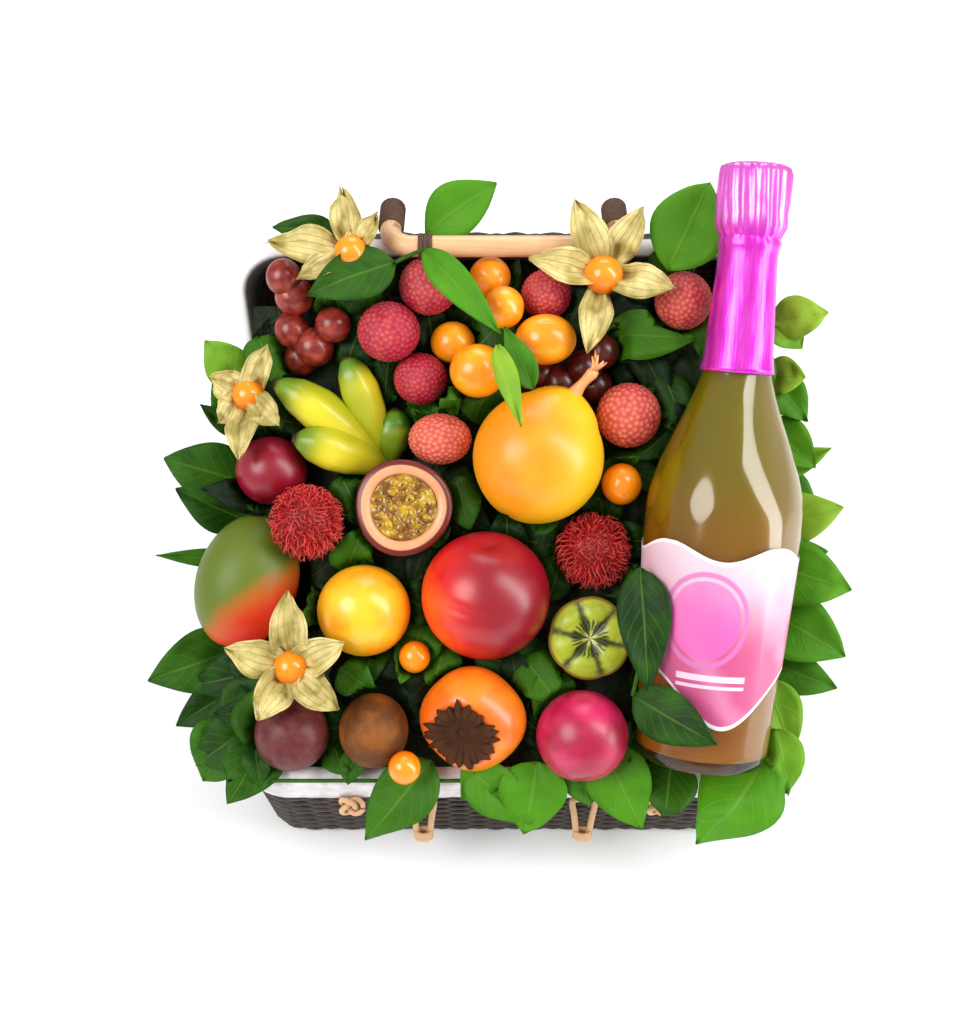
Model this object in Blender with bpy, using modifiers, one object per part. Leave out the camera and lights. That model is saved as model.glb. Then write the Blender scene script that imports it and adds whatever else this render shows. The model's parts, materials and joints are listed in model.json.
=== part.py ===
"""Fruit and wine gift basket: an open wicker hamper that shows fruit, leaves and a bottle on a steep slope.

Lengths in this file are millimetres, and each mesh is scaled to metres when it is finished.
The origin is the middle of the hamper's footprint on the floor, +Z is up and the front faces -Y.
The fruit lies in a second frame, the display slope: across (X), up the slope (Y) and out of it (Z).
"""

import math

import bmesh
import bpy
from mathutils import Matrix, Vector

MM = 0.001
OBJECT_NAME = "fruit_and_wine_gift_basket"

# Hamper: the base is a flared tray, and the lid is a shallower one hinged to its back rim.
HAMPER_WIDTH = 320.0
HAMPER_DEPTH = 204.0
BASE_HEIGHT = 85.0
BASE_FLARE = 12.0
LID_HEIGHT = 40.0
LID_FLARE = 15.0
WALL = 7.0
FLOOR = 7.0
CORNER = 30.0
CORNER_STEPS = 3
EDGE_ROUND = 3.0
RIM_ROUND = 2.5
FLOOR_COVE = (3.0, 4.0)

# Rounded outer edge where wall and floor, or wall and panel, meet: inset and distance from the face.
OUTER_EDGE = ((7.0, 0.0), (2.4, 1.6), (0.0, 6.5))

# Cloth liner: a skin on the inside that folds over the rim and hangs down outside it.
CLOTH = 1.6
CLOTH_GAP = 0.35
BASE_FOLD = 23.0
LID_FOLD = 20.0
LID_TUCK = 11.0

# Hinge and lid: the closed lid's rim is at LID_RIM, and the open lid leans back a little.
HINGE_Y = 107.0
HINGE_Z = 88.7
LID_RIM = 92.0
LID_OPEN = 95.0
HINGE_CORD_LENGTH = 236.0
HINGE_CORD_RADIUS = 1.9

# Rattan fittings.
HANDLE_HALF_SPAN = 66.0
HANDLE_RADIUS = 6.2
HANDLE_BAR_Y = -111.0
HANDLE_BAR_Z = 80.0
HANDLE_TOP_Z = 121.0
HANDLE_BEND = 14.0
HANDLE_FOOT_RADIUS = 4.0
LOOP_ACROSS = 49.0
KNOT_ACROSS = 93.0
KNOT_RADII = (8.0, 9.5, 4.6)
KNOT_STANDOFF = 5.8
LOOP_RADIUS = 2.1
LOOP_REACH = 9.0
LOOP_DROP = 34.0

# Display slope: it starts at the front rim's outer top edge and ends at the open lid's rim.
SLOPE_ANGLE = 41.5
SLOPE_FOOT = (0.0, -HAMPER_DEPTH / 2, BASE_HEIGHT)

# The bed under the fruit.
BED_LEVEL = -6.0
BED_GRID = 16
BED_HALF_ACROSS = 160.0
BED_FOOT = -14.0
BED_HEAD = 300.0
BED_DEPTH = 260.0
BED_CLEAR = 0.6
GAP = 0.35

LEAF_THICK = 0.9
PETAL_THICK = 0.8
LEAF_CLEAR = 2.0
RIM_REACH_X = 166.0
RIM_REACH_Y = 108.0
RIM_TOP = 91.0
TWIG_RADIUS = 1.3

# Bottle: its axis runs from the middle of its heel up the slope, and the sizes run along that axis.
BOTTLE_HEEL = (115.5, 13.0, 5.0)
BOTTLE_TOP = (140.0, 350.0, 50.0)
BOTTLE_WIDE = 44.5
BOTTLE_HEEL_RADIUS = 38.0
BOTTLE_WIDE_AT = 130.0
BOTTLE_SHOULDER_AT = 150.0
BOTTLE_NECK_AT = 236.0
BOTTLE_NECK_RADIUS = 15.5
BOTTLE_GLASS = 3.2
BOTTLE_STEPS = 18
FOIL_FROM = 226.0
FOIL_COLLAR_AT = 306.0
FOIL_THICK = 1.2
WINE_LEVEL = 246.0
NECK_STEP = 250.0
LABEL_FROM = 28.0
LABEL_TO = 133.0
LABEL_COLUMNS = 10

# Middle of each fruit on the slope: across, up and out of it.
PLACE = {
    "lychee_1": (-67, 262, 15),
    "lychee_2": (-44, 289, 13),
    "lychee_3": (-49, 236, 3),
    "lychee_4": (-37, 200, 11),
    "lychee_5": (25, 285, 7),
    "lychee_6": (105, 281, 9),
    "lychee_7": (73, 214, 7),
    "kumquat_1": (-8, 295, 8),
    "kumquat_2": (0, 275, 24),
    "kumquat_3": (-30, 258, 0),
    "kumquat_4": (-15, 239, 20),
    "kumquat_5": (24, 257, 21),
    "plum_left": (-138, 182, -4),
    "plum_front": (45, 28, 18),
    "rambutan_left": (-114, 153, 20),
    "rambutan_right": (53, 136, 5),
    "passion_fruit_half": (-58, 160, 22),
    "passion_fruit_whole": (-124, 28, 9),
    "granadilla": (20, 189, 17),
    "mango": (-154, 116, -3),
    "yellow_plum": (-82, 100, 9),
    "nectarine": (-11, 109, 14),
    "kiwi_cut": (50, 84, 14),
    "kiwi_whole": (-76, 30, 9),
    "persimmon": (-18, 37, 13),
    "berry_right": (69, 174, 9),
    "berry_middle": (-52, 73, 10),
    "berry_front": (-57, 11, 25),
    "physalis_top_left": (-87, 305, 33),
    "physalis_top_right": (57, 293, 26),
    "physalis_left": (-150, 226, 4),
    "physalis_bottom_left": (-122, 68, 24),
}

GRAPES_LEFT = (
    (-123, 284, 6, 11.5),
    (-100, 267, 8, 10.5),
    (-112, 255, 0, 11.5),
    (-125, 265, 0, 10.5),
    (-128, 294, 13, 10.5),
    (-121, 250, -12, 10.5),
)
GRAPES_MIDDLE = (
    (11, 238, -10, 9.5),
    (22, 240, -13, 10.0),
    (34, 235, -9, 10.5),
    (48, 243, -4, 10.5),
    (56, 233, -15, 10.5),
    (59, 253, -6, 10.5),
)

# Sizes of the round fruit: across the slope and up it, or one radius.
LYCHEE_SIZES = (
    (18.6, 18.0), (17.4, 17.6), (15.8, 15.8), (18.6, 15.4), (15.0, 15.2), (17.2, 17.8), (19.4, 19.8),
)
KUMQUAT_SIZES = ((12.4, 12.6), (12.2, 12.6), (13.6, 12.6), (16.4, 16.0), (18.0, 15.0))
BERRY_RADII = (("berry_right", 12.4), ("berry_middle", 9.6), ("berry_front", 9.8))
NECTARINE_RADII = (37.4, 37.4, 37.0)

# Other whole fruit: name, look, segments, radius across, radius to the poles, sunk poles and turn.
WHOLE_FRUIT = (
    ("plum_left", "plum", 12, 21.4, 20.5, 0.05, (70, 0, 20)),
    ("plum_front", "plum", 13, 27.4, 26.5, 0.05, (65, 0, -15)),
    ("yellow_plum", "yellow", 13, 28.0, 26.5, 0.06, (60, 0, 35)),
    ("passion_fruit_whole", "passion", 12, 22.0, 22.4, 0.0, (70, 0, 30)),
    ("kiwi_whole", "kiwi_skin", 12, 20.6, 22.4, 0.0, (65, 0, 10)),
)

# Each banana runs from its tip to the shared crown: tip, belly and the belly's radius.
BANANA_CROWN = (-72, 186, -22)
BANANAS = (
    ((-134, 233, 9), (-103, 216, 13), 13.0),
    ((-93, 248, 7), (-84, 230, 6), 11.5),
    ((-65, 219, -6), (-64, 204, -9), 10.5),
    ((-122, 200, 15), (-97, 194, 11), 13.5),
)

parts = bpy.data.collections.new(OBJECT_NAME)
cutters = bpy.data.collections.new("cutters")
resting = []


def clear_scene():
    for old in list(bpy.data.objects):
        bpy.data.objects.remove(old, do_unlink=True)
    bpy.context.scene.collection.children.link(parts)
    bpy.context.scene.collection.children.link(cutters)


def finish(name, colour, roughness, metallic=0.0):
    made = bpy.data.materials.new(name)
    made.use_nodes = True
    shader = made.node_tree.nodes["Principled BSDF"]
    shader.inputs["Base Color"].default_value = (*colour, 1.0)
    shader.inputs["Roughness"].default_value = roughness
    shader.inputs["Metallic"].default_value = metallic
    return made


def empty(name, location, turn_x=0.0):
    made = bpy.data.objects.new(name, None)
    parts.objects.link(made)
    made.location = Vector(location) * MM
    made.rotation_euler.x = math.radians(turn_x)
    return made


def mesh_object(name, bm, look, parent=None, place=(0, 0, 0), turn=(0, 0, 0), smooth=40.0):
    """Turns a bmesh in millimetres into a named object in metres."""
    bmesh.ops.recalc_face_normals(bm, faces=bm.faces[:])
    bmesh.ops.scale(bm, vec=(MM, MM, MM), verts=bm.verts[:])
    mesh = bpy.data.meshes.new(name)
    bm.to_mesh(mesh)
    bm.free()
    mesh.materials.append(look)
    mesh.shade_smooth()
    mesh.set_sharp_from_angle(angle=math.radians(smooth))
    made = bpy.data.objects.new(name, mesh)
    parts.objects.link(made)
    made.parent = parent
    made.location = Vector(place) * MM
    made.rotation_euler = [math.radians(angle) for angle in turn]
    return made


def tube(name, points, radius, look, parent=None, radii=None, closed=False, sides=2):
    """A curve with a round section; radii are factors of the radius at each point."""
    curve = bpy.data.curves.new(name, "CURVE")
    curve.dimensions = "3D"
    curve.bevel_depth = radius * MM
    curve.bevel_resolution = sides
    curve.use_fill_caps = True
    curve.materials.append(look)
    spline = curve.splines.new("POLY")
    spline.points.add(len(points) - 1)
    for index, point in enumerate(points):
        spline.points[index].co = (*(Vector(point) * MM), 1.0)
        spline.points[index].radius = radii[index] if radii else 1.0
    spline.use_cyclic_u = closed
    made = bpy.data.objects.new(name, curve)
    parts.objects.link(made)
    made.parent = parent
    return made


def as_mesh(piece):
    """Replaces a curve by its mesh, with the caps welded, so that it can be cut or joined."""
    bpy.context.view_layer.update()
    graph = bpy.context.evaluated_depsgraph_get()
    mesh = bpy.data.meshes.new_from_object(piece.evaluated_get(graph))
    bm = bmesh.new()
    bm.from_mesh(mesh)
    bmesh.ops.remove_doubles(bm, verts=bm.verts[:], dist=0.00001)
    bmesh.ops.recalc_face_normals(bm, faces=bm.faces[:])
    bm.to_mesh(mesh)
    bm.free()
    made = bpy.data.objects.new(piece.name + "_mesh", mesh)
    parts.objects.link(made)
    made.parent = piece.parent
    made.matrix_world = piece.matrix_world
    name = piece.name
    bpy.data.objects.remove(piece, do_unlink=True)
    made.name = name
    return made


def fuse(base, others):
    """Joins closed pieces into the base object with one Boolean union, applied."""
    group = bpy.data.collections.new(base.name + "_pieces")
    bpy.context.scene.collection.children.link(group)
    for other in others:
        group.objects.link(other)
    union = base.modifiers.new("union", "BOOLEAN")
    union.operand_type = "COLLECTION"
    union.collection = group
    union.operation = "UNION"
    union.solver = "EXACT"
    bpy.context.view_layer.update()
    graph = bpy.context.evaluated_depsgraph_get()
    mesh = bpy.data.meshes.new_from_object(base.evaluated_get(graph))
    base.modifiers.clear()
    base.data = mesh
    for other in others:
        bpy.data.objects.remove(other, do_unlink=True)
    bpy.data.collections.remove(group)
    return base


def turned(name, profile, look, parent=None, place=(0, 0, 0), turn=(0, 0, 0), steps=20):
    """A profile of (radius, height) turned round Z. It runs down its outer side, top to bottom."""
    mesh = bpy.data.meshes.new(name)
    mesh.from_pydata(
        [(radius * MM, 0, height * MM) for radius, height in profile],
        [(index, index + 1) for index in range(len(profile) - 1)],
        [],
    )
    mesh.materials.append(look)
    made = bpy.data.objects.new(name, mesh)
    parts.objects.link(made)
    made.parent = parent
    made.location = Vector(place) * MM
    made.rotation_euler = [math.radians(angle) for angle in turn]
    screw = made.modifiers.new("turn", "SCREW")
    screw.steps = steps
    screw.render_steps = steps
    screw.use_merge_vertices = True
    screw.merge_threshold = 0.00005
    screw.use_smooth_shade = True
    return made


def rounded_ring(inset, height):
    """Points of a rounded rectangle that lies this far inside the hamper's rim outline."""
    corner = max(CORNER - 0.7 * inset, 5.0)
    half_x = HAMPER_WIDTH / 2 - inset - corner
    half_y = HAMPER_DEPTH / 2 - inset - corner
    points = []
    for quarter, (side_x, side_y) in enumerate(((1, 1), (-1, 1), (-1, -1), (1, -1))):
        for step in range(CORNER_STEPS + 1):
            angle = math.pi / 2 * (quarter + step / CORNER_STEPS)
            x = side_x * half_x + corner * math.cos(angle)
            y = side_y * half_y + corner * math.sin(angle)
            points.append((x, y, height))
    return points


def loft(sections):
    """A closed solid through rings of equally many points, capped at both ends."""
    bm = bmesh.new()
    rows = [[bm.verts.new(point) for point in rounded_ring(*section)] for section in sections]
    for lower, upper in zip(rows, rows[1:]):
        for index in range(len(lower)):
            after = (index + 1) % len(lower)
            bm.faces.new((lower[index], lower[after], upper[after], upper[index]))
    bm.faces.new(rows[0])
    bm.faces.new(reversed(rows[-1]))
    return bm


def base_inset(height, depth=0.0):
    return BASE_FLARE * (1 - height / BASE_HEIGHT) + depth


def lid_inset(height, depth=0.0):
    return LID_FLARE * (height - LID_RIM) / LID_HEIGHT + depth


def build_base(wicker, cloth):
    rim = BASE_HEIGHT
    cove_in, cove_up = FLOOR_COVE
    mesh_object("basket_tray", loft([
        *((base_inset(rise if inset == 0 else 0, inset), rise) for inset, rise in OUTER_EDGE),
        (base_inset(rim - EDGE_ROUND), rim - EDGE_ROUND),
        (RIM_ROUND, rim),
        (WALL - RIM_ROUND, rim),
        (base_inset(rim - EDGE_ROUND, WALL), rim - EDGE_ROUND),
        (base_inset(FLOOR + cove_up, WALL), FLOOR + cove_up),
        (base_inset(FLOOR, WALL + cove_in), FLOOR),
    ]), wicker)
    near = CLOTH_GAP
    far = CLOTH_GAP + CLOTH
    hem = rim - BASE_FOLD
    mesh_object("tray_liner", loft([
        (base_inset(FLOOR, WALL + cove_in + near), FLOOR + near),
        (base_inset(FLOOR + cove_up, WALL + near), FLOOR + cove_up),
        (base_inset(rim - EDGE_ROUND, WALL + near), rim - EDGE_ROUND),
        (WALL - RIM_ROUND + near, rim + near),
        (RIM_ROUND - near, rim + near),
        (base_inset(rim - EDGE_ROUND, -near), rim - EDGE_ROUND),
        (base_inset(hem, -near), hem),
        (base_inset(hem, -far), hem),
        (base_inset(rim - EDGE_ROUND, -far), rim - EDGE_ROUND),
        (RIM_ROUND - far, rim + far),
        (WALL - RIM_ROUND + far, rim + far),
        (base_inset(rim - EDGE_ROUND, WALL + far), rim - EDGE_ROUND),
        (base_inset(FLOOR + cove_up + 1, WALL + far), FLOOR + cove_up + 1),
        (base_inset(FLOOR, WALL + cove_in + far), FLOOR + far),
    ]), cloth)


def closed_lid(bm):
    """Moves a shape drawn where the closed lid lies into the frame of the lid's hinge."""
    bmesh.ops.translate(bm, vec=(0, -HINGE_Y, -HINGE_Z), verts=bm.verts[:])
    return bm


def build_lid(hinge, wicker, cloth):
    rim = LID_RIM
    top = LID_RIM + LID_HEIGHT
    cove_in, cove_up = FLOOR_COVE
    mesh_object("basket_lid", closed_lid(loft([
        *((lid_inset(top - rise if inset == 0 else top, inset), top - rise) for inset, rise in OUTER_EDGE),
        (lid_inset(rim + EDGE_ROUND), rim + EDGE_ROUND),
        (RIM_ROUND, rim),
        (WALL - RIM_ROUND, rim),
        (lid_inset(rim + EDGE_ROUND, WALL), rim + EDGE_ROUND),
        (lid_inset(top - FLOOR - cove_up, WALL), top - FLOOR - cove_up),
        (lid_inset(top - FLOOR, WALL + cove_in), top - FLOOR),
    ])), wicker, hinge)
    near = CLOTH_GAP
    far = CLOTH_GAP + CLOTH
    band = [
        (lid_inset(rim + LID_TUCK, WALL + near), rim + LID_TUCK),
        (lid_inset(rim + EDGE_ROUND, WALL + near), rim + EDGE_ROUND),
        (WALL - RIM_ROUND + near, rim - near),
        (RIM_ROUND - near, rim - near),
        (lid_inset(rim + EDGE_ROUND, -near), rim + EDGE_ROUND),
        (lid_inset(rim + LID_FOLD, -near), rim + LID_FOLD),
        (lid_inset(rim + LID_FOLD, -far), rim + LID_FOLD),
        (lid_inset(rim + EDGE_ROUND, -far), rim + EDGE_ROUND),
        (RIM_ROUND - far, rim - far),
        (WALL - RIM_ROUND + far, rim - far),
        (lid_inset(rim + EDGE_ROUND, WALL + far), rim + EDGE_ROUND),
        (lid_inset(rim + LID_TUCK, WALL + far), rim + LID_TUCK),
    ]
    bm = bmesh.new()
    rows = [[bm.verts.new(point) for point in rounded_ring(*section)] for section in band]
    for lower, upper in zip(rows, rows[1:] + rows[:1]):
        for index in range(len(lower)):
            after = (index + 1) % len(lower)
            bm.faces.new((lower[index], lower[after], upper[after], upper[index]))
    mesh_object("lid_liner", closed_lid(bm), cloth, hinge)


def bend(corner, radius, start, end, steps=4):
    """Points of an arc in the XZ plane round a corner's centre, from one angle to another."""
    points = []
    for step in range(steps + 1):
        angle = math.radians(start + (end - start) * step / steps)
        points.append((corner[0] + radius * math.cos(angle), corner[1], corner[2] + radius * math.sin(angle)))
    return points


def build_handle(hinge, rattan):
    """The carry handle hangs from two feet on the lid's front wall, with its bar in front of the rim."""
    y = HANDLE_BAR_Y
    inner = HANDLE_HALF_SPAN - HANDLE_BEND
    low = HANDLE_BAR_Z + HANDLE_BEND
    path = [(-HANDLE_HALF_SPAN, y, HANDLE_TOP_Z)]
    path += bend((-inner, y, low), HANDLE_BEND, 180, 270)
    path += bend((inner, y, low), HANDLE_BEND, 270, 360)
    path += [(HANDLE_HALF_SPAN, y, HANDLE_TOP_Z)]
    path = [(x, py - HINGE_Y, z - HINGE_Z) for x, py, z in path]
    bar = as_mesh(tube("lid_handle", path, HANDLE_RADIUS, rattan, hinge))
    feet = []
    wall = -HAMPER_DEPTH / 2 + lid_inset(HANDLE_TOP_Z) - CLOTH_GAP
    for side in (-1, 1):
        foot_path = [
            (side * HANDLE_HALF_SPAN, y - HINGE_Y, HANDLE_TOP_Z - 4 - HINGE_Z),
            (side * HANDLE_HALF_SPAN, wall - 2.2 - HINGE_Y, HANDLE_TOP_Z - 1 - HINGE_Z),
        ]
        feet.append(as_mesh(tube("handle_foot", foot_path, HANDLE_FOOT_RADIUS, rattan, hinge)))
    fuse(bar, feet)


def wall_front(height):
    """Where the base's front wall is at a height."""
    return -HAMPER_DEPTH / 2 + base_inset(height)


def build_fittings(rattan):
    """Two closure loops and two knots on the front wall, below the fold of the cloth."""
    hem = BASE_HEIGHT - BASE_FOLD
    for name, side in (("left", -1), ("right", 1)):
        middle = side * LOOP_ACROSS
        top = hem - LOOP_RADIUS - 0.6
        near = wall_front(top) - LOOP_RADIUS - GAP
        tail = near - LOOP_REACH
        low = top - LOOP_DROP
        loop = [
            (middle + 5.0, near, top),
            (middle + 7.0, near - 0.4, top - 3.0),
            (middle + 5.5, near - 4.0, top - 13.0),
            (middle + 3.6, tail, low + 6.0),
            (middle + 2.8, tail, low + 2.0),
            (middle, tail, low),
        ]
        loop += [(2 * middle - x, y, z) for x, y, z in reversed(loop[:-1])]
        tube("clasp_loop_" + name, loop, LOOP_RADIUS, rattan, closed=True, sides=1)
    for name, side in (("left", -1), ("right", 1)):
        height = hem - 3
        bm = ball(12, 4, KNOT_RADII, uneven(0.13, 3, 1.5))
        front = wall_front(height) - CLOTH - KNOT_STANDOFF
        place = (side * KNOT_ACROSS, front, height)
        mesh_object("rim_knot_" + name, bm, rattan, place=place, turn=(90, 0, 0))


def build_hinge_cord(rattan):
    half = HINGE_CORD_LENGTH / 2
    path = [(side * half, HINGE_Y, HINGE_Z) for side in (-1, 1)]
    tube("hinge_cord", path, HINGE_CORD_RADIUS, rattan, sides=2)


def keep_clear(place, radius):
    """Notes a round thing on the slope, so that bed, leaves and petals can keep clear of it."""
    resting.append((Vector(place), radius))


def under_side(across, up, reach=0.0):
    """Lowest out of any fruit over a spot, or None where nothing lies over it."""
    lowest = None
    for middle, radius in resting:
        away = max(math.hypot(across - middle.x, up - middle.y) - reach, 0.0)
        if away < radius:
            low = middle.z - math.sqrt(radius * radius - away * away)
            lowest = low if lowest is None else min(lowest, low)
    return lowest


def top_side(across, up, reach=0.0):
    """Highest out of any fruit over a spot, or None where nothing lies there."""
    highest = None
    for middle, radius in resting:
        away = max(math.hypot(across - middle.x, up - middle.y) - reach, 0.0)
        if away < radius:
            high = middle.z + math.sqrt(radius * radius - away * away)
            highest = high if highest is None else max(highest, high)
    return highest


def ball(segments, rings, radii, shape=None):
    """A ball with its poles on Z, whose points a shape function moves in or out."""
    bm = bmesh.new()
    bmesh.ops.create_uvsphere(bm, u_segments=segments, v_segments=rings, radius=1.0)
    for vert in bm.verts:
        factor = shape(vert.co) if shape else 1.0
        vert.co = Vector((vert.co.x * radii[0], vert.co.y * radii[1], vert.co.z * radii[2])) * factor
    return bm


def shoulders(dip):
    """A shape function that sinks both poles a little, as on a plum or a persimmon."""
    def shape(unit):
        return 1.0 - dip * max(abs(unit.z) - 0.75, 0.0) * 4.0
    return shape


def uneven(amount, lobes, phase):
    """A shape function for fruit that is not quite round."""
    def shape(unit):
        turn = math.atan2(unit.y, unit.x)
        return 1.0 + amount * math.sin(lobes * turn + phase) * (1 - abs(unit.z))
    return shape


def creased(depth):
    """A shape function with one suture from pole to pole, as on a nectarine, and a small point."""
    def shape(unit):
        turn = math.atan2(unit.y, unit.x)
        groove = depth * math.exp(-((turn / 0.22) ** 2))
        point = 0.05 * max(unit.z - 0.85, 0.0) / 0.15
        return 1.0 - groove * (1 - 0.4 * abs(unit.z)) + point
    return shape


def put_fruit(name, bm, look, slope, radius, turn=(0, 0, 0)):
    keep_clear(PLACE[name], radius)
    return mesh_object(name, bm, look, slope, PLACE[name], turn)


def build_round_fruit(slope, looks):
    for number, (wide, tall) in enumerate(LYCHEE_SIZES, 1):
        bm = ball(11, 6, (wide, tall, min(wide, tall)), uneven(0.02, 5, number))
        put_fruit(f"lychee_{number}", bm, looks["lychee"], slope, max(wide, tall) * 1.02)
    for number, (wide, tall) in enumerate(KUMQUAT_SIZES, 1):
        bm = ball(10, 6, (wide, tall, min(wide, tall)))
        put_fruit(f"kumquat_{number}", bm, looks["citrus"], slope, max(wide, tall), (0, 0, 12 - 6 * number))
    for name, radius in BERRY_RADII:
        put_fruit(name, ball(8, 5, (radius, radius, radius)), looks["berry"], slope, radius)
    for name, look, segments, wide, tall, dip, turn in WHOLE_FRUIT:
        bm = ball(segments, 8, (wide, wide, tall), shoulders(dip))
        put_fruit(name, bm, looks[look], slope, max(wide, tall), turn)
    bm = ball(16, 9, NECTARINE_RADII, creased(0.035))
    put_fruit("nectarine", bm, looks["nectarine"], slope, NECTARINE_RADII[0] + 0.4, (0, -72, 200))


def build_rambutans(slope, look):
    for name, core, spine in (("rambutan_left", 16.6, 5.0), ("rambutan_right", 17.6, 4.6)):
        bm = ball(12, 6, (core, core, core * 1.02))
        bmesh.ops.poke(bm, faces=bm.faces[:], offset=spine, center_mode="MEAN")
        put_fruit(name, bm, look, slope, core + spine, (55, 20, 0))


def build_mango(slope, look):
    """A long fruit with one full and one flat side, its stem end up and to the left."""
    def shape(unit):
        return 1.0 + 0.06 * unit.x * (1 - unit.z) - 0.04 * max(unit.z, 0.0)
    middle = Vector(PLACE["mango"])
    mesh_object("mango", ball(14, 9, (31.0, 29.0, 42.0), shape), look, slope, middle, (90, 0, -14))
    keep_clear(middle, 33.0)
    keep_clear(middle + Vector((3, -14, 0)), 29.5)
    keep_clear(middle + Vector((-3, 14, 0)), 28.5)


def build_granadilla(slope, skin):
    """A large ball drawn out to a short neck with a thick stem on it."""
    axis = Vector((0.478, 0.858, 0.19)).normalized()
    middle = Vector(PLACE["granadilla"])

    def shape(unit):
        return 1.0 + 0.13 * max(unit.z - 0.80, 0.0) / 0.20 + 0.012 * math.sin(4 * math.atan2(unit.y, unit.x))
    turn = Vector((0, 0, 1)).rotation_difference(axis).to_matrix().to_4x4()
    bm = ball(14, 9, (38.2, 38.2, 38.6), shape)
    bmesh.ops.transform(bm, matrix=turn, verts=bm.verts[:])
    body = mesh_object("granadilla", bm, skin, slope, middle)
    stem = as_mesh(tube(
        "granadilla_stem",
        [middle + axis * 38, middle + axis * 48 + Vector((1, 0, 2)), middle + axis * 58 + Vector((4, -1, 5))],
        4.2, skin, slope, radii=[1.5, 0.9, 1.15], sides=1))
    fuse(body, [stem])
    keep_clear(middle, 39.0)
    keep_clear(middle + axis * 12, 31.0)
    keep_clear(middle + axis * 50, 6.5)


def build_passion_half(slope, skin, pulp):
    """A cut fruit lies open on the slope: a thick cup of skin and rind, and its pulp inside."""
    name = "passion_fruit_half"
    outer, rind, depth = 28.2, 6.6, 25.0
    inner = outer - rind
    steps = 4
    place = PLACE[name]
    cup = []
    for step in range(steps + 1):
        angle = math.pi / 2 * step / steps
        cup.append((inner * math.sin(angle), -(depth - rind) * math.cos(angle)))
    cup.append((outer - 1.2, 0.0))
    for step in range(steps + 1):
        angle = math.pi / 2 * (1 - step / steps)
        cup.append((outer * math.sin(angle), -1.0 - (depth - 1.0) * math.cos(angle)))
    turned("passion_fruit_shell", cup, skin, slope, place, steps=16)
    slack = 2 * GAP
    fill = [(0.0, -1.0), (inner - slack, -1.5)]
    for step in range(1, steps + 1):
        angle = math.pi / 2 * (1 - step / steps)
        fill.append(((inner - slack) * math.sin(angle), -(depth - rind - slack) * math.cos(angle)))
    fill[-1] = (0.0, fill[-1][1])
    turned("passion_fruit_pulp", fill, pulp, slope, place, steps=16)
    keep_clear(Vector(place) + Vector((0, 0, 1)), 29.0)


def build_kiwi_cut(slope, look):
    """Half a fruit, its cut side up, carved into swelling lobes between creases."""
    lobes = 6
    radius, depth = 24.2, 23.0

    def shape(unit):
        turn = math.atan2(unit.y, unit.x)
        crease = abs(math.cos(lobes * turn / 2))
        return 1.0 + (0.05 * crease - 0.04 if unit.z > -0.2 else 0.0)
    bm = ball(24, 6, (radius, radius, depth), shape)
    for vert in bm.verts:
        if vert.co.z > 0:
            spread = math.hypot(vert.co.x, vert.co.y) / radius
            turn = math.atan2(vert.co.y, vert.co.x)
            swell = 0.35 + 0.65 * abs(math.cos(lobes * turn / 2))
            vert.co.z = 2.0 + 5.0 * swell * math.sin(math.pi * min(spread, 1.0)) * (0.4 + 0.6 * spread)
    put_fruit("kiwi_cut", bm, look, slope, 24.6, (0, 0, 18))


def build_persimmon(slope, skin):
    """A squat four-lobed fruit whose dry calyx faces the front left."""
    def shape(unit):
        turn = math.atan2(unit.y, unit.x)
        return 1.0 + 0.025 * math.cos(4 * turn) - 0.05 * max(abs(unit.z) - 0.8, 0.0) * 5
    middle = Vector(PLACE["persimmon"])
    facing = Vector((-0.30, -0.36, 0.88)).normalized()
    turn = Vector((0, 0, 1)).rotation_difference(facing).to_matrix().to_4x4()
    bm = ball(16, 8, (30.8, 30.8, 25.5), shape)
    bmesh.ops.transform(bm, matrix=turn, verts=bm.verts[:])
    body = mesh_object("persimmon", bm, skin, slope, middle)
    calyx = bmesh.new()
    bmesh.ops.create_cone(calyx, cap_ends=True, segments=12, radius1=17.0, radius2=15.0, depth=6.0)
    for vert in calyx.verts:
        angle = math.atan2(vert.co.y, vert.co.x)
        vert.co.x *= 1.0 + 0.20 * math.cos(4 * angle)
        vert.co.y *= 1.0 + 0.20 * math.cos(4 * angle)
    bmesh.ops.transform(calyx, matrix=Matrix.Translation(facing * 22.5) @ turn, verts=calyx.verts[:])
    fuse(body, [mesh_object("calyx", calyx, skin, slope, middle)])
    keep_clear(middle, 31.8)


def build_grapes(slope, name, berries, look):
    """A cluster of grapes that press on each other, joined into one piece."""
    pieces = []
    for across, up, out, radius in berries:
        keep_clear((across, up, out), radius)
        bm = ball(8, 5, (radius, radius, radius))
        turn = (17 * len(pieces), 9 * len(pieces), 0)
        pieces.append(mesh_object(name, bm, look, slope, (across, up, out), turn))
    fuse(pieces[0], pieces[1:])
    pieces[0].name = name


def curve_points(start, middle, end, count):
    """Points along the bow that starts and ends at two places and leans towards a third."""
    points = []
    for step in range(count):
        t = step / (count - 1)
        points.append(Vector(start) * (1 - t) ** 2 + Vector(middle) * 2 * t * (1 - t) + Vector(end) * t * t)
    return points


def build_bananas(slope, look):
    """Four short fingers that share a crown hidden under the other fruit."""
    fingers = []
    for tip, belly, radius in BANANAS:
        path = curve_points(tip, belly, BANANA_CROWN, 6)
        radii = [0.28, 0.80, 1.0, 0.95, 0.72, 0.45]
        for point, factor in zip(path, radii):
            keep_clear(point, radius * factor + 0.6)
        fingers.append(as_mesh(tube("banana_hand", path, radius, look, slope, radii=radii, sides=2)))
    bm = ball(8, 5, (9.0, 9.0, 9.0))
    keep_clear(BANANA_CROWN, 10.2)
    fingers.append(mesh_object("banana_crown", bm, look, slope, BANANA_CROWN))
    fuse(fingers[0], fingers[1:])
    fingers[0].name = "banana_hand"


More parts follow.
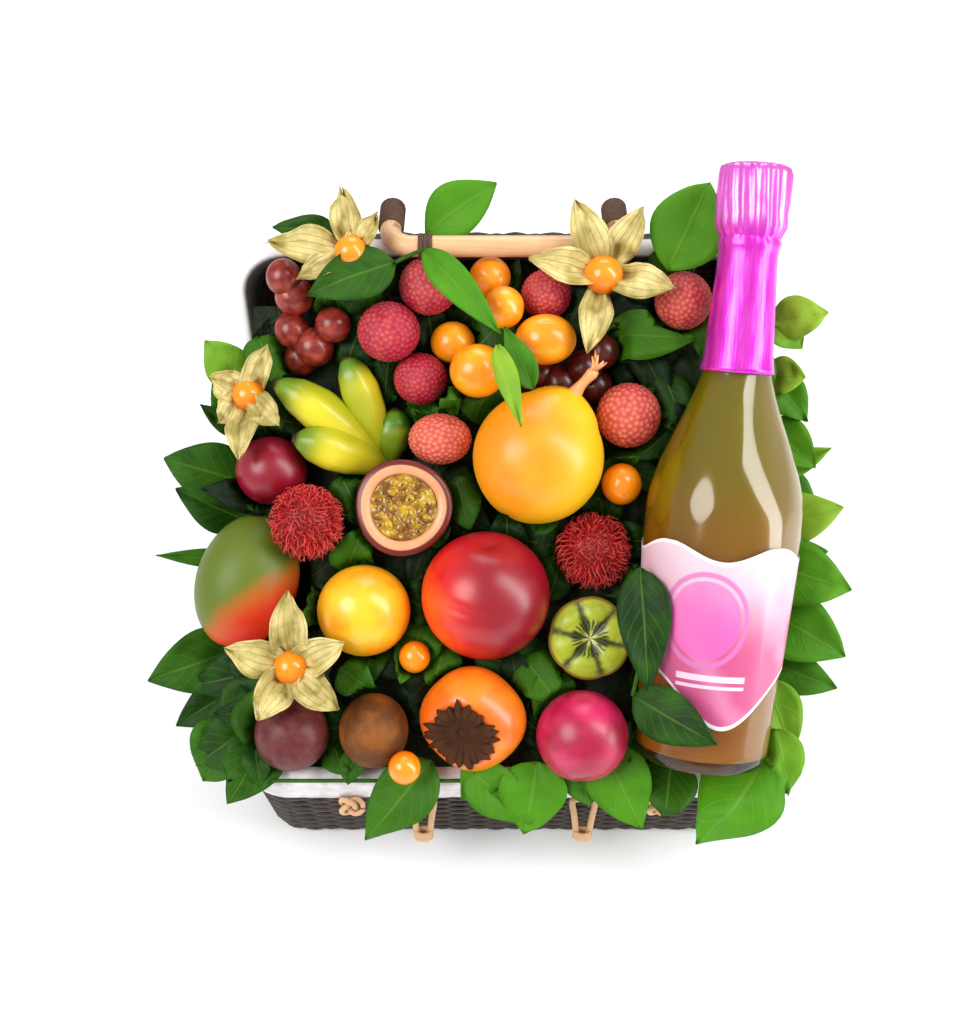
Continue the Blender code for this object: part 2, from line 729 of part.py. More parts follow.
def bottle_radius(height):
    """Outer radius of the bottle at a height above its heel."""
    heel = 6.0
    if height < heel:
        return BOTTLE_HEEL_RADIUS - 5.0 * (1 - height / heel) ** 2
    if height < BOTTLE_WIDE_AT:
        share = (height - heel) / (BOTTLE_WIDE_AT - heel)
        return BOTTLE_HEEL_RADIUS + (BOTTLE_WIDE - BOTTLE_HEEL_RADIUS) * share
    if height < BOTTLE_SHOULDER_AT:
        return BOTTLE_WIDE
    if height < BOTTLE_NECK_AT:
        share = (height - BOTTLE_SHOULDER_AT) / (BOTTLE_NECK_AT - BOTTLE_SHOULDER_AT)
        ease = share * share * (3 - 2 * share)
        return BOTTLE_WIDE + (BOTTLE_NECK_RADIUS + 2.0 - BOTTLE_WIDE) * (0.35 * share + 0.65 * ease)
    share = min((height - BOTTLE_NECK_AT) / 50.0, 1.0)
    return BOTTLE_NECK_RADIUS + 2.0 - 2.6 * share


def bottle_frame():
    """Place, turn and length of the bottle on the slope, with its own Z along its axis."""
    heel, top = Vector(BOTTLE_HEEL), Vector(BOTTLE_TOP)
    axis = top - heel
    turn = Vector((0, 0, 1)).rotation_difference(axis).to_euler()
    return heel, [math.degrees(angle) for angle in turn], axis.length


def build_bottle(slope, looks):
    place, turn, length = bottle_frame()
    mouth = length - 18.0
    heights = [BOTTLE_SHOULDER_AT, 178, 204, FOIL_FROM, NECK_STEP, mouth]
    outer = [(bottle_radius(height), height) for height in reversed(heights)]
    outer += [(BOTTLE_WIDE, BOTTLE_WIDE_AT), (bottle_radius(6), 6.0), (bottle_radius(2), 2.0)]
    outer += [(BOTTLE_HEEL_RADIUS - 6.0, 0.0), (14.0, 4.0), (0.0, 5.5)]
    inner = [(0.0, 9.5), (14.0, 8.0), (bottle_radius(8) - BOTTLE_GLASS - 2, 8.0)]
    inner += [(bottle_radius(height) - BOTTLE_GLASS, height) for height in [14, BOTTLE_WIDE_AT] + heights]
    turned("bottle_glass", inner + outer, looks["glass"], slope, place, turn, BOTTLE_STEPS)
    fill_heights = [height for height in [14, BOTTLE_WIDE_AT] + heights if height < WINE_LEVEL - 1]
    inset = BOTTLE_GLASS + GAP + 0.25
    wine = [(0.0, WINE_LEVEL), (bottle_radius(WINE_LEVEL) - inset, WINE_LEVEL)]
    wine += [(bottle_radius(height) - inset, height) for height in reversed(fill_heights)]
    wine += [(bottle_radius(8) - inset - 2, 9.0), (14.0, 9.0), (0.0, 10.5)]
    turned("bottle_wine", wine, looks["wine"], slope, place, turn, BOTTLE_STEPS)
    collar = BOTTLE_NECK_RADIUS + 4.4
    skin = [(0.0, length), (collar - 2.5, length - 0.5), (collar, length - 4.0), (collar, FOIL_COLLAR_AT)]
    skin += [(collar - 2.2, FOIL_COLLAR_AT - 4), (collar - 2.6, FOIL_COLLAR_AT - 10)]
    clear = [NECK_STEP, FOIL_FROM]
    skin += [(bottle_radius(height) + GAP + 0.5 + FOIL_THICK, height) for height in clear]
    skin += [(bottle_radius(height) + GAP + 0.3, height) for height in reversed(clear)]
    skin += [(bottle_radius(mouth) + 1.2, mouth + 1.0), (0.0, mouth + 1.0)]
    turned("bottle_foil", skin, looks["foil"], slope, place, turn, BOTTLE_STEPS)
    axis = (Vector(BOTTLE_TOP) - Vector(BOTTLE_HEEL)).normalized()
    step = 9.0
    for index in range(int(length / step) + 1):
        height = index * step
        radius = bottle_radius(height) if height < FOIL_FROM else collar
        keep_clear(place + axis * height, radius + 0.5)
    for height in (3.0, 8.0):
        keep_clear(place + axis * (height + BOTTLE_HEEL_RADIUS * 0.6), BOTTLE_HEEL_RADIUS + 1.0)


def build_label(slope, look):
    """Paper label on the bottle's front: its top edge waves, and its lower edge runs to a rounded point."""
    place, turn, _ = bottle_frame()
    sector = 2 * math.pi / BOTTLE_STEPS
    bm = bmesh.new()
    bmesh.ops.create_grid(bm, x_segments=LABEL_COLUMNS, y_segments=3, size=1.0)
    facing = math.radians(-105)
    first = round(facing / sector)
    for vert in bm.verts:
        column = round((vert.co.x + 1) / 2 * LABEL_COLUMNS) - LABEL_COLUMNS // 2
        share = (vert.co.y + 1) / 2
        side = column / (LABEL_COLUMNS / 2)
        top = LABEL_TO - 5.0 - 4.5 * math.cos(side * 2.4 * math.pi)
        point = math.exp(-((side - 0.1) / 0.42) ** 2)
        bottom = LABEL_FROM + 34.0 * (1 - point)
        height = bottom + (min(top, BOTTLE_WIDE_AT - 0.5) - bottom) * share
        radius = bottle_radius(height) + GAP + 0.25
        angle = (first + column) * sector
        vert.co = Vector((radius * math.cos(angle), radius * math.sin(angle), height))
    label = mesh_object("bottle_label", bm, look, slope, place, turn)
    skin = label.modifiers.new("paper", "SOLIDIFY")
    skin.thickness = 0.5 * MM
    skin.offset = 1.0
    skin.use_even_offset = False


def blade_width(share, widest):
    """Half width of a leaf at a share of its length, from 0 at the stalk to 1 at the tip."""
    power = math.log(0.5) / math.log(widest)
    return math.sin(math.pi * share ** power) ** 0.85 if 0 < share < 1 else 0.0


def over_rim(spot):
    """Lifts a point of a leaf that would cut the hamper's rim, out of the slope."""
    lean = math.radians(SLOPE_ANGLE)
    y = SLOPE_FOOT[1] + spot.y * math.cos(lean) - spot.z * math.sin(lean)
    z = SLOPE_FOOT[2] + spot.y * math.sin(lean) + spot.z * math.cos(lean)
    if abs(spot.x) < RIM_REACH_X and abs(y) < RIM_REACH_Y and z < RIM_TOP:
        spot.z += (RIM_TOP - z) / math.cos(lean)


def blade(start, tip, width, lift=6.0, facing=(0, 0, 1), fold=0.16, wave=1.2, rows=4,
          widest=0.42, thick=LEAF_THICK, side=None, phase=0.0, stalk=1.4):
    """A thin pointed leaf or petal: a grid bowed from its start to its tip and lifted beside the midrib."""
    start, tip = Vector(start), Vector(tip)
    facing = Vector(facing).normalized()
    middle = (start + tip) / 2 + facing * lift * 2
    bm = bmesh.new()
    bmesh.ops.create_grid(bm, x_segments=2, y_segments=rows, size=1.0)
    for vert in bm.verts:
        across, t = vert.co.x, (vert.co.y + 1) / 2
        spot = start * (1 - t) ** 2 + middle * 2 * t * (1 - t) + tip * t * t
        along = ((middle - start) * (1 - t) + (tip - middle) * t).normalized()
        sideways = along.cross(facing).normalized()
        normal = sideways.cross(along).normalized()
        half = max(width / 2 * blade_width(t, widest), stalk * (1 - t) + 0.5 * t)
        edge = abs(across) * half
        spot += sideways * across * half + normal * edge * fold
        spot += normal * wave * abs(across) * math.sin(9 * t + 2.1 * across + phase) * min(half / 8, 1)
        if side == "over" and t > 0.12:
            top = top_side(spot.x, spot.y, 4.0)
            spot.z = spot.z if top is None else max(spot.z, top + LEAF_CLEAR)
        if side == "under":
            low = under_side(spot.x, spot.y, 4.0)
            spot.z = spot.z if low is None else min(spot.z, low - LEAF_CLEAR)
        over_rim(spot)
        vert.co = spot
    bmesh.ops.triangulate(bm, faces=bm.faces[:])
    bmesh.ops.recalc_face_normals(bm, faces=bm.faces[:])
    bmesh.ops.solidify(bm, geom=bm.faces[:], thickness=thick)
    return bm


def build_physalis(slope, name, radius, petals, look, lift=5.0):
    """An orange berry in its opened papery husk, berry and husk joined where they grow together."""
    middle = Vector(PLACE[name])
    foot = middle - Vector((0, 0, radius * 0.72))
    husk = []
    for number, (across, up, out, width) in enumerate(petals):
        tip = Vector((across, up, out))
        bm = blade(foot, tip, width, lift, fold=0.30, wave=1.4, rows=3, widest=0.50,
                   thick=PETAL_THICK, side="over", phase=number, stalk=3.0)
        husk.append(mesh_object("petal", bm, look, slope))
    berry = mesh_object(name, ball(8, 5, (radius, radius, radius)), look, slope, middle)
    fuse(berry, husk)
    keep_clear(middle, radius)


# Husks: the berry's radius, and per petal where its tip is on the slope and how wide it is.
HUSKS = {
    "physalis_bottom_left": (10.2, (
        (-122, 113, 38, 20), (-159, 80, 30, 20), (-90, 84, 40, 19), (-139, 40, 38, 20), (-93, 46, 40, 20),
    )),
    "physalis_left": (9.8, (
        (-167, 210, 8, 18), (-152, 187, 24, 19), (-128, 206, 34, 17), (-137, 254, 16, 16), (-172, 236, 6, 18),
    )),
    "physalis_top_left": (9.3, (
        (-135, 313, 22, 19), (-93, 342, 26, 16), (-118, 290, 30, 13), (-72, 326, 32, 14),
    )),
    "physalis_top_right": (11.2, (
        (40, 335, 32, 20), (79, 330, 35, 18), (14, 300, 36, 18), (96, 284, 34, 19), (47, 247, 34, 18),
    )),
}


# Leaves on each twig: the twig's points, and per leaf its point on the twig, tip, width and lift.
SPRIGS = {
    "leaves_left_upper": (
        ((-159, 128, -44), (-159, 152, -40), (-159, 176, -34), (-159, 205, -26), (-158, 236, -17)),
        ((4, (-178, 260, -8), 25, 4), (3, (-182, 222, -12), 12, 3), (2, (-206, 190, -20), 34, 6),
         (0, (-212, 131, -26), 9, 5)),
    ),
    "leaves_left_lower": (
        ((-159, 30, -12), (-159, 52, -28), (-160, 74, -34)),
        ((2, (-214, 56, -14), 34, 6), (0, (-182, -2, -12), 36, 5), (1, (-196, 30, -18), 20, 4)),
    ),
    "leaves_right_upper": (
        ((160, 150, -34), (160, 180, -31), (160, 210, -27), (161, 240, -22), (162, 272, -15)),
        ((4, (199, 272, -8), 25, 6), (3, (179, 240, -10), 15, 4), (2, (186, 200, -14), 24, 4),
         (1, (198, 192, -16), 13, 4), (0, (204, 166, -18), 26, 6)),
    ),
    "leaves_right_lower": (
        ((161, 8, 4), (161, 36, -18), (160, 66, -34), (160, 98, -34), (160, 126, -34)),
        ((4, (210, 108, -16), 31, 7), (3, (206, 72, -18), 36, 6), (1, (176, 14, -14), 24, 4),
         (0, (114, -36, -16), 32, 12)),
    ),
}
FRONT_TWIG = ((-136, 0, 8.5), (-100, 0, 8.5), (-48, 0, 8.5), (-14, 0, 8.5), (22, 0, 8.5), (58, 0, 8.5))
FRONT_LEAVES = (
    (2, (-82, -33, -8), 36, 9),
    (3, (24, -29, -6), 38, 10),
    (5, (80, -27, -6), 34, 10),
    (0, (-126, -7, 8), 14, 3),
    (1, (-84, -6, 10), 12, 3),
)
CENTER_TWIG = ((76, 126, 42), (76, 100, 41), (76, 74, 40), (72, 54, 42))
CENTER_LEAVES = ((0, (80, 56, 46), 26, 4), (3, (116, 30, 62), 28, 4))
TOP_TWIG = ((-46, 306, 33), (-54, 303, 32), (-62, 299, 32))
TOP_LEAVES = ((2, (-112, 280, 34), 26, 5), (0, (-2, 256, 50), 16, 5))

# Single leaves: foot, tip, width and lift.
LEAF_BY_NECK = ((98, 298, 24), (118, 348, 18), 38, 5)
LEAF_ON_LID = ((-46, 322, 2), (-4, 350, 8), 32, 5)


def build_sprig(slope, name, twig, leaves, look, side):
    stem = as_mesh(tube(name, twig, TWIG_RADIUS, look, slope, sides=0))
    made = []
    for number, (index, tip, width, lift) in enumerate(leaves):
        bm = blade(twig[index], tip, width, lift, side=side, phase=1.7 * number)
        made.append(mesh_object("leaf", bm, look, slope))
    fuse(stem, made)


def build_leaves(slope, hinge, look):
    for name, (twig, leaves) in SPRIGS.items():
        build_sprig(slope, name, twig, leaves, look, "under")
    build_sprig(slope, "leaves_front", FRONT_TWIG, FRONT_LEAVES, look, None)
    build_sprig(slope, "leaves_center", CENTER_TWIG, CENTER_LEAVES, look, "over")
    build_sprig(slope, "leaves_top", TOP_TWIG, TOP_LEAVES, look, "over")
    mesh_object("leaf_by_neck", blade(*LEAF_BY_NECK, phase=2.0, stalk=1.0), look, slope)
    top = blade(*LEAF_ON_LID, phase=0.5, stalk=1.0)
    bpy.context.view_layer.update()
    into_lid = hinge.matrix_world.inverted() @ slope.matrix_world
    shift = Matrix.Scale(1 / MM, 4) @ into_lid @ Matrix.Scale(MM, 4)
    bmesh.ops.transform(top, matrix=shift, verts=top.verts[:])
    mesh_object("leaf_top", top, look, hinge)


def hull(name, corners, parent=None):
    """A convex block through some corners, used as a cutter."""
    bm = bmesh.new()
    for corner in corners:
        bm.verts.new(corner)
    bmesh.ops.convex_hull(bm, input=bm.verts[:])
    made = mesh_object(name, bm, finish(name, (0.5, 0.5, 0.5), 0.8), parent)
    parts.objects.unlink(made)
    cutters.objects.link(made)
    made.hide_render = True
    made.display_type = "WIRE"
    return made


def build_bed(slope, look):
    """Packing that fills the tray and carries the fruit: its top dips under each of them."""
    def corners(half, y_low, y_high, z):
        return [(side * half, y, z) for side in (-1, 1) for y in (y_low, y_high)]
    slack = CLOTH_GAP + CLOTH + 2 * GAP
    fill = mesh_object("filler_bed", loft([
        (base_inset(FLOOR, WALL + FLOOR_COVE[0] + slack), FLOOR + slack),
        (base_inset(FLOOR + 5, WALL + slack), FLOOR + 5 + GAP),
        (base_inset(BASE_HEIGHT - EDGE_ROUND, WALL + slack), BASE_HEIGHT - EDGE_ROUND),
        (base_inset(BASE_HEIGHT, WALL + slack + 1), BASE_HEIGHT + 7),
    ]), look)
    over = corners(147.0, -93.0, 96.0, BASE_HEIGHT + 3.4)
    for y, z in ((-88.0, 100.0), (98.5, 105.0), (112.0, 190.0), (8.0, 182.0)):
        over += corners(156.0, y, y, z)
    over += corners(150.0, 117.0, 117.0, 262.0)
    high = hull("bed_over_rim", over)
    bm = bmesh.new()
    bmesh.ops.create_grid(bm, x_segments=BED_GRID, y_segments=BED_GRID, size=1.0)
    reach = max(2 * BED_HALF_ACROSS, BED_HEAD - BED_FOOT) / BED_GRID * 0.75
    for vert in bm.verts:
        across = vert.co.x * BED_HALF_ACROSS
        up = BED_FOOT + (vert.co.y + 1) / 2 * (BED_HEAD - BED_FOOT)
        lowest = under_side(across, up, reach)
        level = BED_LEVEL if lowest is None else min(BED_LEVEL, lowest - BED_CLEAR)
        vert.co = Vector((across, up, level))
    skirt = bmesh.ops.extrude_face_region(bm, geom=bm.faces[:])["geom"]
    for vert in [item for item in skirt if isinstance(item, bmesh.types.BMVert)]:
        vert.co.z = -BED_DEPTH
    cover = mesh_object("bed_top", bm, look, slope)
    parts.objects.unlink(cover)
    cutters.objects.link(cover)
    cover.hide_render = True
    cover.display_type = "WIRE"
    for operation, other in (("UNION", high), ("INTERSECT", cover)):
        step = fill.modifiers.new(operation.lower(), "BOOLEAN")
        step.operation = operation
        step.object = other
        step.solver = "EXACT"


def main():
    clear_scene()
    wicker = finish("wicker", (0.028, 0.017, 0.011), 0.62)
    cloth = finish("liner_cloth", (0.82, 0.78, 0.76), 0.9)
    rattan = finish("rattan", (0.66, 0.41, 0.22), 0.5)
    leaf = finish("leaf", (0.045, 0.20, 0.02), 0.42)
    looks = {
        "lychee": finish("lychee_skin", (0.48, 0.045, 0.06), 0.55),
        "citrus": finish("kumquat_skin", (0.90, 0.28, 0.01), 0.32),
        "berry": finish("orange_berry", (0.92, 0.30, 0.01), 0.3),
        "plum": finish("plum_skin", (0.36, 0.01, 0.05), 0.25),
        "yellow": finish("yellow_plum_skin", (0.85, 0.42, 0.03), 0.3),
        "nectarine": finish("nectarine_skin", (0.50, 0.02, 0.02), 0.28),
        "passion": finish("passion_fruit_skin", (0.10, 0.03, 0.04), 0.45),
        "kiwi_skin": finish("kiwi_skin", (0.20, 0.09, 0.03), 0.7),
        "glass": finish("bottle_glass", (0.35, 0.30, 0.12), 0.05),
        "wine": finish("wine", (0.55, 0.33, 0.08), 0.1),
        "foil": finish("foil", (0.75, 0.05, 0.55), 0.3, 0.4),
    }
    slope = empty("display_slope", SLOPE_FOOT, SLOPE_ANGLE)
    hinge = empty("lid_pivot", (0, HINGE_Y, HINGE_Z), -LID_OPEN)
    build_base(wicker, cloth)
    build_lid(hinge, wicker, cloth)
    build_handle(hinge, rattan)
    build_fittings(rattan)
    build_hinge_cord(rattan)
    build_round_fruit(slope, looks)
    build_rambutans(slope, finish("rambutan_skin", (0.50, 0.03, 0.02), 0.5))
    build_mango(slope, finish("mango_skin", (0.30, 0.22, 0.03), 0.38))
    build_granadilla(slope, finish("granadilla_skin", (0.88, 0.45, 0.02), 0.38))
    rind = finish("cut_passion_skin", (0.45, 0.09, 0.03), 0.4)
    build_passion_half(slope, rind, finish("pulp", (0.5, 0.3, 0.03), 0.15))
    build_kiwi_cut(slope, finish("kiwi_flesh", (0.50, 0.50, 0.05), 0.35))
    build_persimmon(slope, finish("persimmon_skin", (0.85, 0.17, 0.01), 0.35))
    grape = finish("grape_skin", (0.22, 0.03, 0.02), 0.2)
    build_grapes(slope, "grapes_left", GRAPES_LEFT, grape)
    build_grapes(slope, "grapes_middle", GRAPES_MIDDLE, grape)
    build_bananas(slope, finish("banana_skin", (0.55, 0.58, 0.02), 0.4))
    build_bottle(slope, looks)
    build_label(slope, finish("label_paper", (0.86, 0.60, 0.70), 0.6))
    build_bed(slope, finish("filler", (0.03, 0.06, 0.02), 0.9))
    husk = finish("physalis", (0.62, 0.50, 0.20), 0.55)
    for name, (radius, petals) in HUSKS.items():
        build_physalis(slope, name, radius, petals, husk)
    build_leaves(slope, hinge, leaf)


main()
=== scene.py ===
import json
import math
import random

import bmesh
import bpy
from mathutils import Matrix, Vector
from mathutils.kdtree import KDTree
from mathutils.noise import noise


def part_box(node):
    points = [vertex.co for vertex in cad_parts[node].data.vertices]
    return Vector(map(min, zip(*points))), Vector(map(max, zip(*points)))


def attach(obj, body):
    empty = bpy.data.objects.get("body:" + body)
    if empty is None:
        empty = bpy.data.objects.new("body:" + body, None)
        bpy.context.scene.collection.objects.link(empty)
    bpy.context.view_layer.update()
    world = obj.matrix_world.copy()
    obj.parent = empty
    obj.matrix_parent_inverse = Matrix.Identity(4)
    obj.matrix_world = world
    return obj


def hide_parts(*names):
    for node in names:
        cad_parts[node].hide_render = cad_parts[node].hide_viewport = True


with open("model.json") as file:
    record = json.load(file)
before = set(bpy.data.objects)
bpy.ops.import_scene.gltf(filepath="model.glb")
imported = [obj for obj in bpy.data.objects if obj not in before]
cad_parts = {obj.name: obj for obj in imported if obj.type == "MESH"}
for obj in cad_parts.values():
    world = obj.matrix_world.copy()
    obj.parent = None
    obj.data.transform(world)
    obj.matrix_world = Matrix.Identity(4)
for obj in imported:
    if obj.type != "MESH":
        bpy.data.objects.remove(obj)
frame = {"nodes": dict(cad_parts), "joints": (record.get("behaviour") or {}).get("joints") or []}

bl_info = {
    "name": "Fruit and wine gift basket",
    "version": (1, 0, 0),
    "blender": (4, 5, 0),
    "location": "3D View > Sidebar > Gift basket",
    "description": "Builds an open wicker hamper heaped with fruit, leaves and a bottle",
    "category": "Add Mesh",
}

BOXES = {node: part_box(node) for node in frame["nodes"]}
BASKET = "basket"
LID = "lid"

# The slope that carries the fruit: it starts at the base's front rim and rises to the lid's.
SLOPE_LEAN = math.radians(41.5)
VIEW_ALONG = math.radians(48.5)
GOLDEN = math.pi * (3 - math.sqrt(5))

# Middle line of the bottle on the slope, from heel to top, and how far its mouth lies below the foil's top.
BOTTLE_HEEL = Vector((0.1155, 0.013, 0.005))
BOTTLE_TOP = Vector((0.140, 0.350, 0.050))
MOUTH_DEPTH = 0.018

# The lid: how far it stands open, its depth, and how far its rim lies over the hinge when it is closed.
LID_OPEN = math.radians(95.0)
LID_DEPTH = 0.040
RIM_OVER_HINGE = 0.0033

# The weave: height of a row and depth of the plain wall behind the strands, in radii of a strand, how far
# a strand sways out and lies in, and the share of the sides that the rounded corners leave.
ROW_PITCH = 2.05
WALL_SKIN = 1.7
STRAND_SWAY = 0.55
STRAND_SUNK = 0.45
ROUNDED_SHARE = 0.93
SHELL_STEPS = 96
PANEL_RIB_GAP = 0.014
WEAVE_SEED = 11

# The handle, its bindings and the bend of its corners.
HANDLE_RADIUS = 0.0062
HANDLE_BEND = 0.014
BINDING_REACH = 0.0064
BINDING_RADIUS = 0.0014

# Gaps of a leaf to the fruit it lies on, of the cloth to the rim and of the cloth's bands to the strands.
LEAF_GAP = 0.0014
CLOTH_GAP = 0.0003
BAND_GAP = 0.0013

# Points of a turned body that lie closer together than this become one.
MERGE = 0.00002

# Corner of the cloth at the rim: how far down it bends and how far in it turns.
CLOTH_BEND = 0.003
CLOTH_TURN = 0.0025

# Where each twig bends, and per leaf its joint on the twig or its foot, tip, width, lift and shade.
SPRIGS = {
    "leaves_left_upper": (
        ((-0.159, 0.128, -0.044), (-0.159, 0.152, -0.040), (-0.159, 0.176, -0.034), (-0.159, 0.205, -0.026),
         (-0.158, 0.236, -0.017)),
        ((4, (-0.178, 0.260, -0.008), 0.027, 0.004, 1.3), (3, (-0.182, 0.222, -0.012), 0.014, 0.003, 0.2),
         (2, (-0.206, 0.190, -0.020), 0.038, 0.006, 0.3), (0, (-0.212, 0.131, -0.026), 0.012, 0.005, 0.5),
         (1, (-0.200, 0.172, -0.026), 0.030, 0.004, 0.15), (3, (-0.176, 0.236, -0.018), 0.020, 0.003, 0.7)),
    ),
    "leaves_left_lower": (
        ((-0.159, 0.030, -0.012), (-0.159, 0.052, -0.028), (-0.160, 0.074, -0.034)),
        ((2, (-0.214, 0.056, -0.014), 0.040, 0.006, 0.35), (0, (-0.180, -0.004, -0.012), 0.042, 0.005, 0.45),
         (1, (-0.198, 0.028, -0.018), 0.028, 0.004, 0.15),
         ((-0.140, 0.046, -0.010), (-0.186, 0.014, -0.020), 0.036, 0.004, 0.1),
         ((-0.136, 0.064, -0.008), (-0.190, 0.052, -0.020), 0.034, 0.004, 0.05),
         ((-0.138, 0.026, 0.000), (-0.160, -0.012, -0.002), 0.036, 0.006, 0.3),
         ((-0.150, 0.030, -0.004), (-0.184, 0.006, -0.010), 0.034, 0.004, 0.2)),
    ),
    "leaves_right_upper": (
        ((0.160, 0.150, -0.034), (0.160, 0.180, -0.031), (0.160, 0.210, -0.027), (0.161, 0.240, -0.022),
         (0.162, 0.272, -0.015)),
        ((4, (0.194, 0.276, -0.008), 0.026, 0.006, 1.7), (3, (0.181, 0.238, -0.010), 0.024, 0.004, 1.6),
         (2, (0.188, 0.184, -0.014), 0.030, 0.004, 1.0), (1, (0.198, 0.196, -0.016), 0.018, 0.004, 1.2),
         (0, (0.206, 0.160, -0.018), 0.032, 0.006, 1.6), (4, (0.180, 0.256, -0.014), 0.022, 0.004, 1.3),
         (3, (0.184, 0.212, -0.018), 0.026, 0.004, 0.8), (1, (0.192, 0.152, -0.024), 0.030, 0.004, 0.7)),
    ),
    "leaves_right_lower": (
        ((0.161, 0.008, 0.004), (0.161, 0.036, -0.018), (0.160, 0.066, -0.034), (0.160, 0.098, -0.034),
         (0.160, 0.126, -0.034)),
        ((4, (0.210, 0.110, -0.016), 0.040, 0.007, 1.0), (3, (0.207, 0.070, -0.018), 0.042, 0.006, 0.9),
         ((0.158, 0.056, -0.014), (0.174, 0.012, -0.014), 0.030, 0.004, 1.3),
         ((0.156, 0.012, 0.008), (0.112, -0.036, -0.014), 0.050, 0.010, 0.95),
         (2, (0.203, 0.050, -0.022), 0.028, 0.004, 0.6), (4, (0.198, 0.134, -0.026), 0.028, 0.004, 0.8),
         ((0.160, 0.030, 0.006), (0.168, -0.010, 0.000), 0.026, 0.005, 1.2),
         ((0.100, 0.012, 0.004), (0.092, -0.020, 0.000), 0.034, 0.006, 0.25)),
    ),
    "leaves_front": (
        ((-0.136, 0, 0.0085), (-0.100, 0, 0.0085), (-0.048, 0, 0.0085), (-0.014, 0, 0.0085),
         (0.022, 0, 0.0085), (0.058, 0, 0.0085)),
        (((-0.042, 0.012, 0.010), (-0.081, -0.034, -0.008), 0.036, 0.009, 0.5),
         ((0.020, 0.012, 0.012), (0.012, -0.030, -0.006), 0.040, 0.009, 0.9),
         ((-0.020, 0.008, 0.010), (0.016, -0.024, -0.002), 0.030, 0.010, 0.8),
         ((0.058, 0.020, 0.008), (0.080, -0.027, -0.006), 0.038, 0.012, 0.85),
         ((-0.086, 0.018, 0.006), (-0.092, -0.002, 0.008), 0.016, 0.004, 0.3),
         ((-0.006, 0.014, 0.008), (-0.024, -0.010, 0.008), 0.026, 0.005, 0.7),
         ((-0.146, 0.020, 0.004), (-0.142, -0.004, 0.006), 0.018, 0.004, 0.2),
         ((0.044, 0.012, 0.008), (0.050, -0.014, 0.006), 0.026, 0.005, 0.5)),
    ),
    "leaves_center": (
        ((0.076, 0.126, 0.042), (0.076, 0.100, 0.041), (0.076, 0.074, 0.040), (0.072, 0.054, 0.042)),
        ((0, (0.080, 0.056, 0.046), 0.030, 0.004, 0.05), (3, (0.116, 0.030, 0.062), 0.030, 0.004, 0.12)),
    ),
    "leaves_top": (
        ((-0.046, 0.306, 0.033), (-0.054, 0.303, 0.032), (-0.062, 0.299, 0.032)),
        ((2, (-0.112, 0.280, 0.034), 0.030, 0.005, 0.25), (0, (-0.002, 0.256, 0.050), 0.020, 0.005, 0.9),
         ((-0.096, 0.318, 0.016), (-0.134, 0.322, 0.018), 0.018, 0.004, 0.2),
         ((-0.004, 0.250, 0.050), (0.009, 0.203, 0.066), 0.013, 0.004, 1.6)),
    ),
}
DRAPED_SPRIGS = ("leaves_center", "leaves_top")
TUCKED_SPRIGS = ("leaves_left_upper", "leaves_left_lower", "leaves_right_upper", "leaves_right_lower")
LONE_LEAVES = {
    "leaf_by_neck": (BASKET, (0.094, 0.296, 0.024), (0.119, 0.348, 0.018), 0.044, 2.0),
    "leaf_top": (LID, (-0.046, 0.322, 0.002), (-0.004, 0.350, 0.008), 0.032, 0.5),
}

# Husks: radius of the berry, per petal its tip on the slope and its width, and the middle of the berry.
HUSKS = {
    "physalis_bottom_left": (0.0102, (
        ((-0.122, 0.113, 0.038), 0.020), ((-0.159, 0.080, 0.030), 0.020), ((-0.090, 0.084, 0.040), 0.019),
        ((-0.139, 0.040, 0.038), 0.020), ((-0.093, 0.046, 0.040), 0.020)), (-0.122, 0.068, 0.024)),
    "physalis_left": (0.0098, (
        ((-0.167, 0.210, 0.008), 0.018), ((-0.152, 0.187, 0.024), 0.019), ((-0.128, 0.206, 0.034), 0.017),
        ((-0.137, 0.254, 0.016), 0.016), ((-0.172, 0.236, 0.006), 0.018)), (-0.150, 0.226, 0.004)),
    "physalis_top_left": (0.0093, (
        ((-0.135, 0.313, 0.022), 0.019), ((-0.093, 0.342, 0.026), 0.016), ((-0.118, 0.290, 0.030), 0.013),
        ((-0.072, 0.326, 0.032), 0.014)), (-0.087, 0.305, 0.033)),
    "physalis_top_right": (0.0112, (
        ((0.040, 0.335, 0.032), 0.020), ((0.079, 0.330, 0.035), 0.018), ((0.014, 0.300, 0.036), 0.018),
        ((0.096, 0.284, 0.034), 0.019), ((0.047, 0.247, 0.034), 0.018)), (0.057, 0.293, 0.026)),
}

# Bananas: tip, belly, widest radius, and how green each one is. All of them run to one crown.
BANANA_CROWN = (-0.072, 0.186, -0.022)
BANANAS = (
    ((-0.134, 0.233, 0.009), (-0.103, 0.216, 0.013), 0.0130, 0.0),
    ((-0.093, 0.248, 0.007), (-0.084, 0.230, 0.006), 0.0115, 0.1),
    ((-0.065, 0.219, -0.006), (-0.064, 0.204, -0.009), 0.0105, 1.0),
    ((-0.122, 0.200, 0.015), (-0.097, 0.194, 0.011), 0.0135, 0.0),
)

# Grapes: middle on the slope and radius of each one.
GRAPES = {
    "grapes_left": (
        (-0.123, 0.284, 0.006, 0.0115), (-0.100, 0.267, 0.008, 0.0105), (-0.112, 0.255, 0.0, 0.0115),
        (-0.125, 0.265, 0.0, 0.0105), (-0.128, 0.294, 0.013, 0.0105), (-0.121, 0.250, -0.012, 0.0105)),
    "grapes_middle": (
        (0.011, 0.238, -0.010, 0.0095), (0.022, 0.240, -0.013, 0.0100), (0.034, 0.235, -0.009, 0.0105),
        (0.048, 0.243, -0.004, 0.0105), (0.056, 0.233, -0.015, 0.0105), (0.059, 0.253, -0.006, 0.0105)),
}

